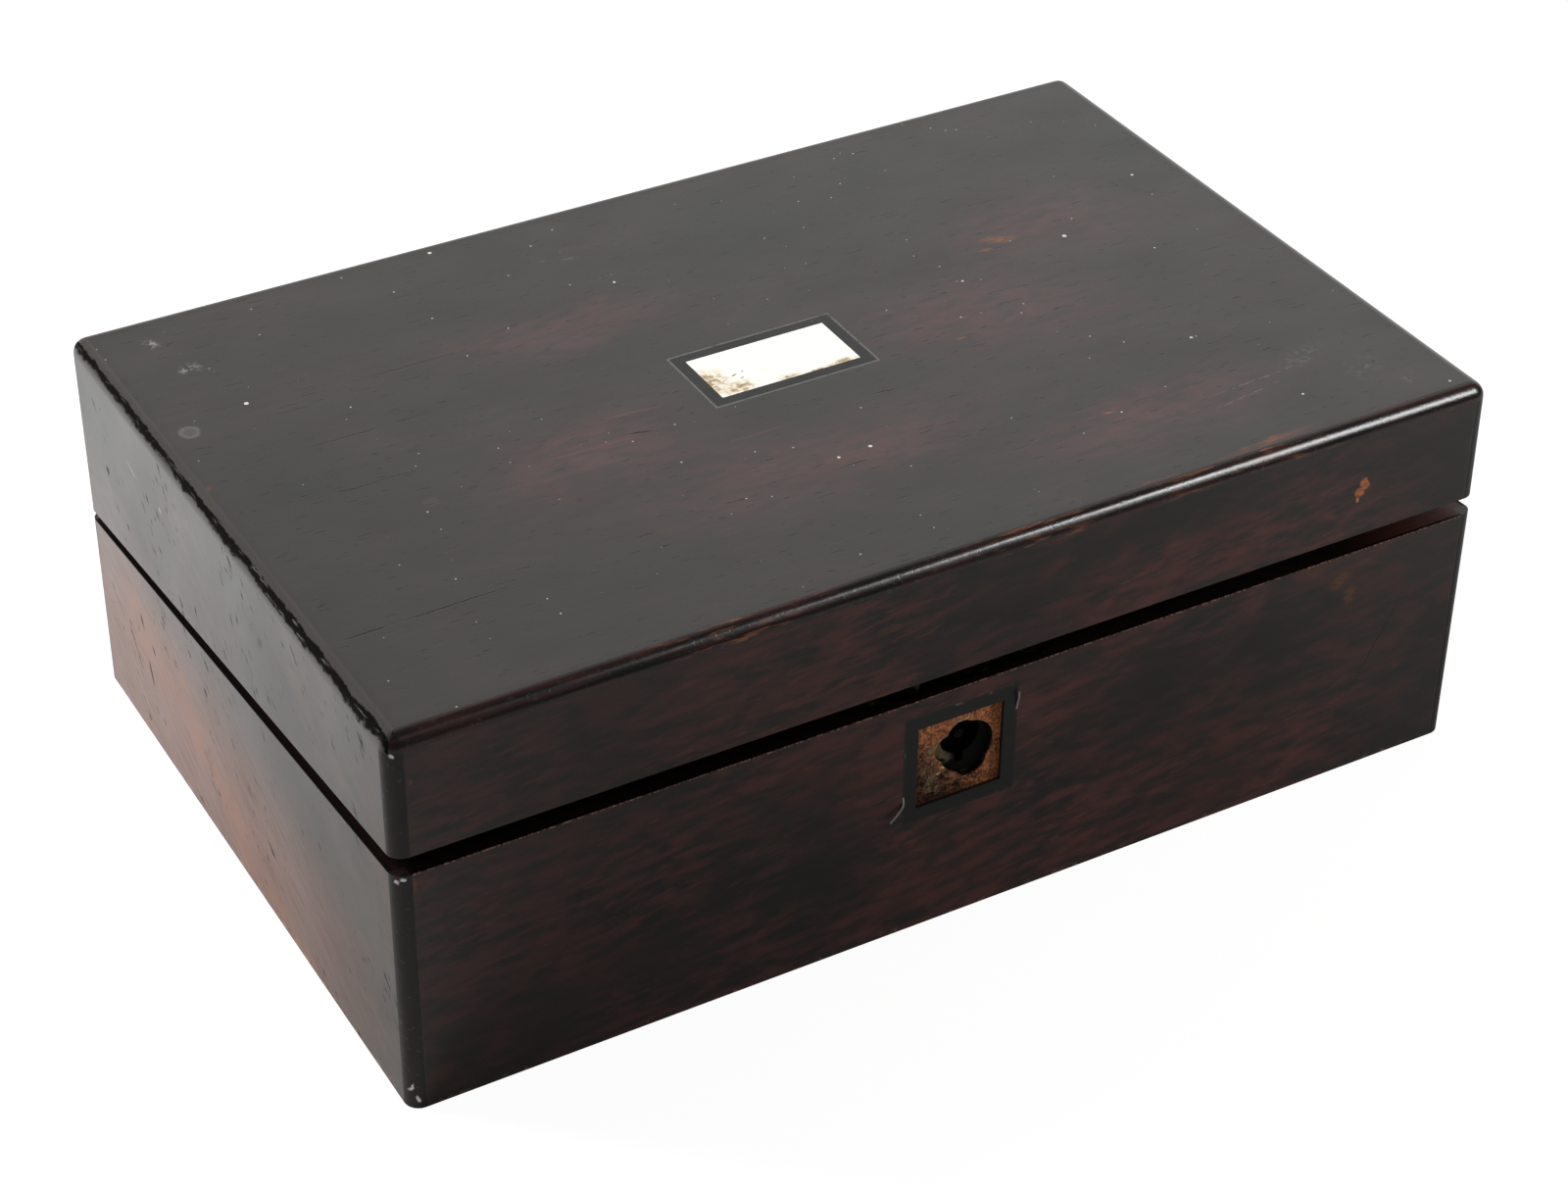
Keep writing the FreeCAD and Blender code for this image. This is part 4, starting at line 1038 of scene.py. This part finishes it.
# %% Leather finish
def leather_finish(name, seed, pale, deep, worn_colour):
    f = new_finish(name)
    pebbles = {"Vector": f.cells(1.1), "Scale": 1.0}
    grain = f.node("ShaderNodeTexVoronoi", {"feature": "DISTANCE_TO_EDGE"}, pebbles, "Distance")
    cells = f.rise(grain, 0.0, 0.16)
    cloud = f.noise((38.0, 26.0, 26.0), 4.0, seed=seed)
    f.colour = f.mix(f.rise(cloud, 0.34, 0.66), deep, pale)
    worn = f.rise(f.noise(16.0, 4.0, seed=seed + 1), 0.54, 0.68)
    f.paint(worn * 0.55, worn_colour)
    blots = f.rise(f.noise(9.0, 4.0, seed=seed + 2), 0.665, 0.69)
    f.paint(blots * 0.8, INK)
    # Painted shade: the creases between the pebbles of the grain are darker.
    f.paint((1 - cells) * 0.5, deep)
    roughness = 0.46 + 0.16 * cloud + 0.10 * worn
    f.surface(roughness, f.bump(cells + cloud, 0.08))
    return f


# Pale, deep and worn colour of each leather
GREEN = ((0.036, 0.058, 0.036), (0.014, 0.025, 0.016), (0.085, 0.068, 0.036))
TAN = ((0.105, 0.047, 0.022), (0.045, 0.018, 0.009), (0.17, 0.095, 0.05))
SKIVER = leather_finish("dark green skiver", 171, *GREEN)
TAB_LEATHER = leather_finish("brown pull leather", 176, *TAN)
print("leathers:", SKIVER.material.name, "and", TAB_LEATHER.material.name)

# %% Skivers
SKIVER_THICKNESS = 0.5
SWELL = 0.10
SWELL_SINK = 1.2
SWELL_LENGTHS = (40, 30)
COCKLE_LENGTH = 12
COCKLE_SHARE = 0.4
EDGE_DIP = 0.22
EDGE_WIDTH = 2.5
GRID_STEP = 3.0


def closed_sheet(name, shape, thickness):
    """Closes a grid, shaped in millimetres, to a smooth sheet of that thickness."""
    sheet = bmesh.ops.extrude_face_region(shape, geom=shape.faces[:])
    lowered = [item for item in sheet["geom"] if isinstance(item, bmesh.types.BMVert)]
    bmesh.ops.translate(shape, vec=(0, 0, -thickness), verts=lowered)
    bmesh.ops.recalc_face_normals(shape, faces=shape.faces)
    mesh = bpy.data.meshes.new(name)
    shape.to_mesh(mesh)
    shape.free()
    mesh.transform(Matrix.Scale(MM, 4))
    for face in mesh.polygons:
        face.use_smooth = True
    return mesh


def skiver_mesh(name, half, thickness):
    """A sheet on the face of its slab, with swells and a dipped edge."""
    half_x, half_y = (value / MM for value in half[:2])
    shape = bmesh.new()
    counts = [max(2, round(2 * value / GRID_STEP)) for value in (half_x, half_y)]
    bmesh.ops.create_grid(shape, x_segments=counts[0], y_segments=counts[1], size=1.0)
    for vertex in shape.verts:
        x = vertex.co.x * half_x
        y = vertex.co.y * half_y
        inward = min(half_x - abs(x), half_y - abs(y))
        dip = EDGE_DIP * max(0.0, 1 - inward / EDGE_WIDTH) ** 2
        cockle = COCKLE_SHARE * noise.noise((x / COCKLE_LENGTH, y / COCKLE_LENGTH, 5.0))
        broad = noise.noise((x / SWELL_LENGTHS[0], y / SWELL_LENGTHS[1], 2.0))
        vertex.co = (x, y, SWELL * (broad + cockle - SWELL_SINK) - dip)
    return closed_sheet(name, shape, thickness)


def cover_flap(half_name, outward):
    node = f"{half_name}_flap_leather"
    body = f"{half_name}_flap"
    place, half = slab_frame(node, outward)
    mesh = skiver_mesh(f"{half_name}_skiver", half, SKIVER_THICKNESS - SWELL - EDGE_DIP)
    mesh.transform(place)
    piece = add_piece(f"{half_name}_skiver", mesh, SKIVER, body, [node])
    2 * half[0]
    2 * half[1]
    return place, half


OUTWARD = {"base": 1, "lid": -1}
skivers = {half_name: cover_flap(half_name, outward) for half_name, outward in OUTWARD.items()}

# %% [markdown]
# ## Gilt tooling
#
# The border of each skiver was tooled with hot brass wheels over gold leaf: two fillet lines with a
# row of small lozenges between them. It could be painted by a mask, but real gold lies on the
# leather. A row of stamps at an even step along a path is what Geometry Nodes do best: the tree takes
# the size of the border, the step and the stamp as inputs, so one tree serves both flaps.

# %% Gilt finish
def gilt_finish():
    f = new_finish("worn gold leaf")
    rubbed = f.rise(f.noise(7.0, 4.0, seed=181), 0.44, 0.62)
    f.colour = f.mix(rubbed, (0.72, 0.47, 0.16), (0.12, 0.085, 0.035))
    f.surface(0.34 + 0.25 * rubbed, f.bump(rubbed, 0.02), 1 - 0.8 * rubbed)
    return f


GILT = gilt_finish()
print("gilt:", GILT.material.name)


# %% Trees with named inputs
class Growth(Builder):
    """A Geometry Nodes tree with named inputs, which ends in real mesh with a material."""

    def __init__(self, name, *numbers):
        super().__init__(bpy.data.node_groups.new(name, "GeometryNodeTree"))
        kinds = {"Geometry": "Geometry", **dict.fromkeys(numbers, "Float"), "Material": "Material"}
        sockets = self.tree.interface
        for socket, kind in kinds.items():
            sockets.new_socket(socket, in_out="INPUT", socket_type="NodeSocket" + kind)
        sockets.new_socket("Geometry", in_out="OUTPUT", socket_type="NodeSocketGeometry")
        self.entry = self.node("NodeGroupInput")

    def given(self, name):
        return self.entry.other(name)

    def close(self, *parts):
        """Joins the parts, makes every instance a real mesh and gives it the material."""
        joined = self.node("GeometryNodeJoinGeometry")
        for part in parts:
            self.tree.links.new(part.socket, joined.socket.node.inputs[0])
        real = self.node("GeometryNodeRealizeInstances", {}, {0: joined})
        inputs = {"Geometry": real, "Material": self.given("Material")}
        dressed = self.node("GeometryNodeSetMaterial", {}, inputs)
        self.node("NodeGroupOutput", {}, {0: dressed})
        print(self.tree.name, "has", len(self.tree.nodes), "nodes")
        return self.tree


def plain_mesh(holder):
    """The mesh that a holder's curve or modifier ends in. The holder goes."""
    bpy.context.scene.collection.objects.link(holder)
    seen = holder.evaluated_get(bpy.context.evaluated_depsgraph_get())
    mesh = bpy.data.meshes.new_from_object(seen)
    bpy.data.objects.remove(holder)
    return mesh


def grown(name, tree, values):
    """The plain mesh that a tree makes from nothing but its inputs."""
    holder = bpy.data.objects.new(name, bpy.data.meshes.new(name))
    modifier = holder.modifiers.new("grown", "NODES")
    modifier.node_group = tree
    entries = [item for item in tree.interface.items_tree if item.in_out == "INPUT"]
    sockets = {item.name: item.identifier for item in entries}
    for key, value in values.items():
        modifier[sockets[key]] = value
    return plain_mesh(holder)


print("trees end in plain mesh")

# %% Tooling tree
LOZENGE = {"Vertices": 4, "Radius Top": 0.3, "Radius Bottom": 1.0, "Depth": 0.25}
LOZENGE_HEIGHT = 0.3
LINE_HEIGHT = 0.12


def tooling_tree():
    tree = Growth("tooled border", "Width", "Height", "Step", "Stamp", "Line", "Lines Apart")

    def rectangle(width, height):
        sides = {"Width": width, "Height": height}
        return tree.node("GeometryNodeCurvePrimitiveQuadrilateral", {}, sides)

    def border(widened):
        return rectangle(tree.given("Width") + widened, tree.given("Height") + widened)

    profile = rectangle(tree.given("Line"), tree.given("Line") * LINE_HEIGHT)
    lines = []
    for side in (1.0, -1.0):
        path = border(tree.given("Lines Apart") * side)
        lines.append(tree.node("GeometryNodeCurveToMesh", {}, {"Curve": path, "Profile Curve": profile}))
    spacing = {"Curve": border(0.0), "Length": tree.given("Step")}
    spaced = tree.node("GeometryNodeResampleCurve", {"mode": "LENGTH"}, spacing)
    wide = tree.given("Stamp")
    size = tree.node("ShaderNodeCombineXYZ", {}, {0: wide, 1: wide, 2: wide * LOZENGE_HEIGHT})
    put = {"Points": spaced, "Instance": tree.node("GeometryNodeMeshCone", {}, LOZENGE), "Scale": size}
    return tree.close(tree.node("GeometryNodeInstanceOnPoints", {}, put), *lines)


TOOLING = tooling_tree()

# %% Tool both skivers
BORDER_INSET = 9.0
STAMP_STEP = 4.2
STAMP_SIZE = 1.1
FILLET = 0.45
FILLETS_APART = 6.4
LEAF_HEIGHT = 0.02

for half_name, (place, half) in skivers.items():
    values = {
        "Width": 2 * half[0] - 2 * BORDER_INSET * MM,
        "Height": 2 * half[1] - 2 * BORDER_INSET * MM,
        "Step": STAMP_STEP * MM,
        "Stamp": STAMP_SIZE * MM,
        "Line": FILLET * MM,
        "Lines Apart": FILLETS_APART * MM,
        "Material": GILT.material,
    }
    mesh = grown(f"{half_name}_tooling", TOOLING, values)
    mesh.transform(place @ Matrix.Translation((0, 0, (LEAF_HEIGHT - SWELL) * MM)))
    add_piece(f"{half_name}_tooling", mesh, None, f"{half_name}_flap")

# %% [markdown]
# ## Pull tabs
#
# A leather tongue at the front of each flap lets a finger lift it. It could be a plain strip, but a
# cut tongue has a rounded end and a slight curl, so it is a grid shaped to a half round and closed
# to its thickness, as the skivers are.

# %% Tabs
TAB_THICKNESS = 0.3
TAB_CURL = 0.5
TAB_CELLS = 10
TAB_CUP = 0.1
TAB_ROUND_FROM = 0.1
TAB_ROUND_POWER = 2.6
TAB_TIP = 0.02


def tab_mesh(name, half, free_side):
    half_x, half_y = (value / MM for value in half[:2])
    shape = bmesh.new()
    bmesh.ops.create_grid(shape, x_segments=TAB_CELLS, y_segments=TAB_CELLS, size=1.0)
    for vertex in shape.verts:
        u = vertex.co.x
        v = vertex.co.y * free_side
        rounded = max(0.0, (v - TAB_ROUND_FROM) / (1 - TAB_ROUND_FROM))
        narrowed = math.sqrt(max(TAB_TIP, 1 - rounded ** TAB_ROUND_POWER))
        curl = TAB_CURL * max(0.0, v) ** 2 - TAB_CUP * u * u
        vertex.co = (u * half_x * narrowed, free_side * v * half_y, curl - TAB_CURL)
    return closed_sheet(name, shape, TAB_THICKNESS)


for half_name, outward in OUTWARD.items():
    node = f"{half_name}_flap_tab"
    place, half = slab_frame(node, outward)
    mesh = tab_mesh(f"{half_name}_pull_tab", half, -1 if place.col[1].y > 0 else 1)
    mesh.transform(place)
    tab = add_piece(f"{half_name}_pull_tab", mesh, TAB_LEATHER, f"{half_name}_flap", [node])
    2 * half[0]
    2 * half[1]

# %% [markdown]
# ## Crumbs in the empty bed
#
# When the key plate came off it tore the glue, which left crumbs and splinters all over its bed. A
# bump can't give their shadows at the edge of the hole, and hundreds of separate grains are a job
# for a scatter: points strewn on the square, those over the hole taken out, and a rough grain of
# random size on each.

# %% Crumb tree
FULL_TURN = (6.3, 6.3, 6.3)
LEAST_GRAIN = (0.2, 0.2, 0.2)


def crumb_tree():
    tree = Growth("strewn crumbs", "Side", "Density", "Largest", "Hole X", "Hole Y", "Hole Radius")
    side = tree.given("Side")
    square = tree.node("GeometryNodeMeshGrid", {}, {"Size X": side, "Size Y": side})
    strewing = {0: square, "Density": tree.given("Density"), "Seed": 4}
    strewn = tree.node("GeometryNodeDistributePointsOnFaces", {}, strewing)
    hole = tree.node("ShaderNodeCombineXYZ", {}, {0: tree.given("Hole X"), 1: tree.given("Hole Y")})
    distance = tree.vector("DISTANCE", tree.node("GeometryNodeInputPosition"), hole, "Value")
    compared = {0: distance, 1: tree.given("Hole Radius")}
    over_hole = tree.node("FunctionNodeCompare", {"operation": "LESS_THAN"}, compared)
    kept = tree.node("GeometryNodeDeleteGeometry", {}, {0: strewn, "Selection": over_hole})
    grain = tree.node("GeometryNodeMeshIcoSphere", {}, {"Radius": 1.0, "Subdivisions": 1})
    three = {"data_type": "FLOAT_VECTOR"}
    turn = tree.node("FunctionNodeRandomValue", three, {1: FULL_TURN, "Seed": 1})
    chance = tree.node("FunctionNodeRandomValue", three, {0: LEAST_GRAIN, "Seed": 2})
    scaled = {0: chance, "Scale": tree.given("Largest")}
    size = tree.node("ShaderNodeVectorMath", {"operation": "SCALE"}, scaled)
    put = {"Points": kept, "Instance": grain, "Rotation": turn, "Scale": size}
    return tree.close(tree.node("GeometryNodeInstanceOnPoints", {}, put))


STREWING = crumb_tree()

# %% Strew the bed
HOLE_CENTRE = (-0.4, 50.0)
HOLE_RADIUS = 9.2
CRUMB_MARGIN = 0.6
CRUMBS_PER_SQUARE_MM = 0.8
LARGEST_CRUMB = 0.46
CRUMBS = {
    "Side": 2 * (BED_HALF - CRUMB_MARGIN) * MM,
    "Density": CRUMBS_PER_SQUARE_MM / MM ** 2,
    "Largest": LARGEST_CRUMB * MM,
    "Hole X": (HOLE_CENTRE[0] - BED_CENTRE[0]) * MM,
    "Hole Y": (HOLE_CENTRE[1] - BED_CENTRE[1]) * MM,
    "Hole Radius": HOLE_RADIUS * MM,
    "Material": nodes["base_front_board"].material_slots[0].material,
}
crumbs = grown("bed_crumbs", STREWING, CRUMBS)
on_bed = Vector((BED_CENTRE[0], FRONT_FACE + RECESS_DEPTH, BED_CENTRE[1])) * MM
crumbs.transform(Matrix.Translation(on_bed) @ Matrix.Rotation(math.radians(90), 4, "X"))
add_piece("bed_crumbs", crumbs, None, "base")

# %% [markdown]
# ## Loose ends of the string
#
# The string round the lost plate has sprung from its groove at two corners. A row of cylinders would
# show its joints, so each bent end is a curve along a short path with a round section, turned into a
# mesh.

# %% Loose ends
LOOSE_ENDS = [
    [(-18.9, -98.3, 43.0), (-18.7, -98.7, 41.0), (-20.2, -99.3, 39.6), (-23.2, -99.8, 37.6)],
    [(12.9, -98.4, 58.6), (13.0, -98.7, 61.0), (13.0, -99.1, 62.4), (12.8, -99.3, 64.4)],
]
WIRE_RADIUS = 0.30


def wire_mesh(name, paths, radius):
    curve = bpy.data.curves.new(name, "CURVE")
    curve.dimensions = "3D"
    curve.bevel_depth = radius * MM
    curve.bevel_resolution = 2
    curve.use_fill_caps = True
    for path in paths:
        spline = curve.splines.new("NURBS")
        spline.points.add(len(path) - 1)
        for point, place in zip(spline.points, path):
            point.co = (*(value * MM for value in place), 1.0)
        spline.use_endpoint_u = True
        spline.order_u = 3
    return plain_mesh(bpy.data.objects.new(name, curve))


LOOSE_STRING = string_finish("bare string", 117, (0.16, 0.155, 0.145), (0.46, 0.45, 0.42), 1.2)
loose_ends = wire_mesh("loose_string", LOOSE_ENDS, WIRE_RADIUS)
add_piece("loose_string", loose_ends, LOOSE_STRING, "base")
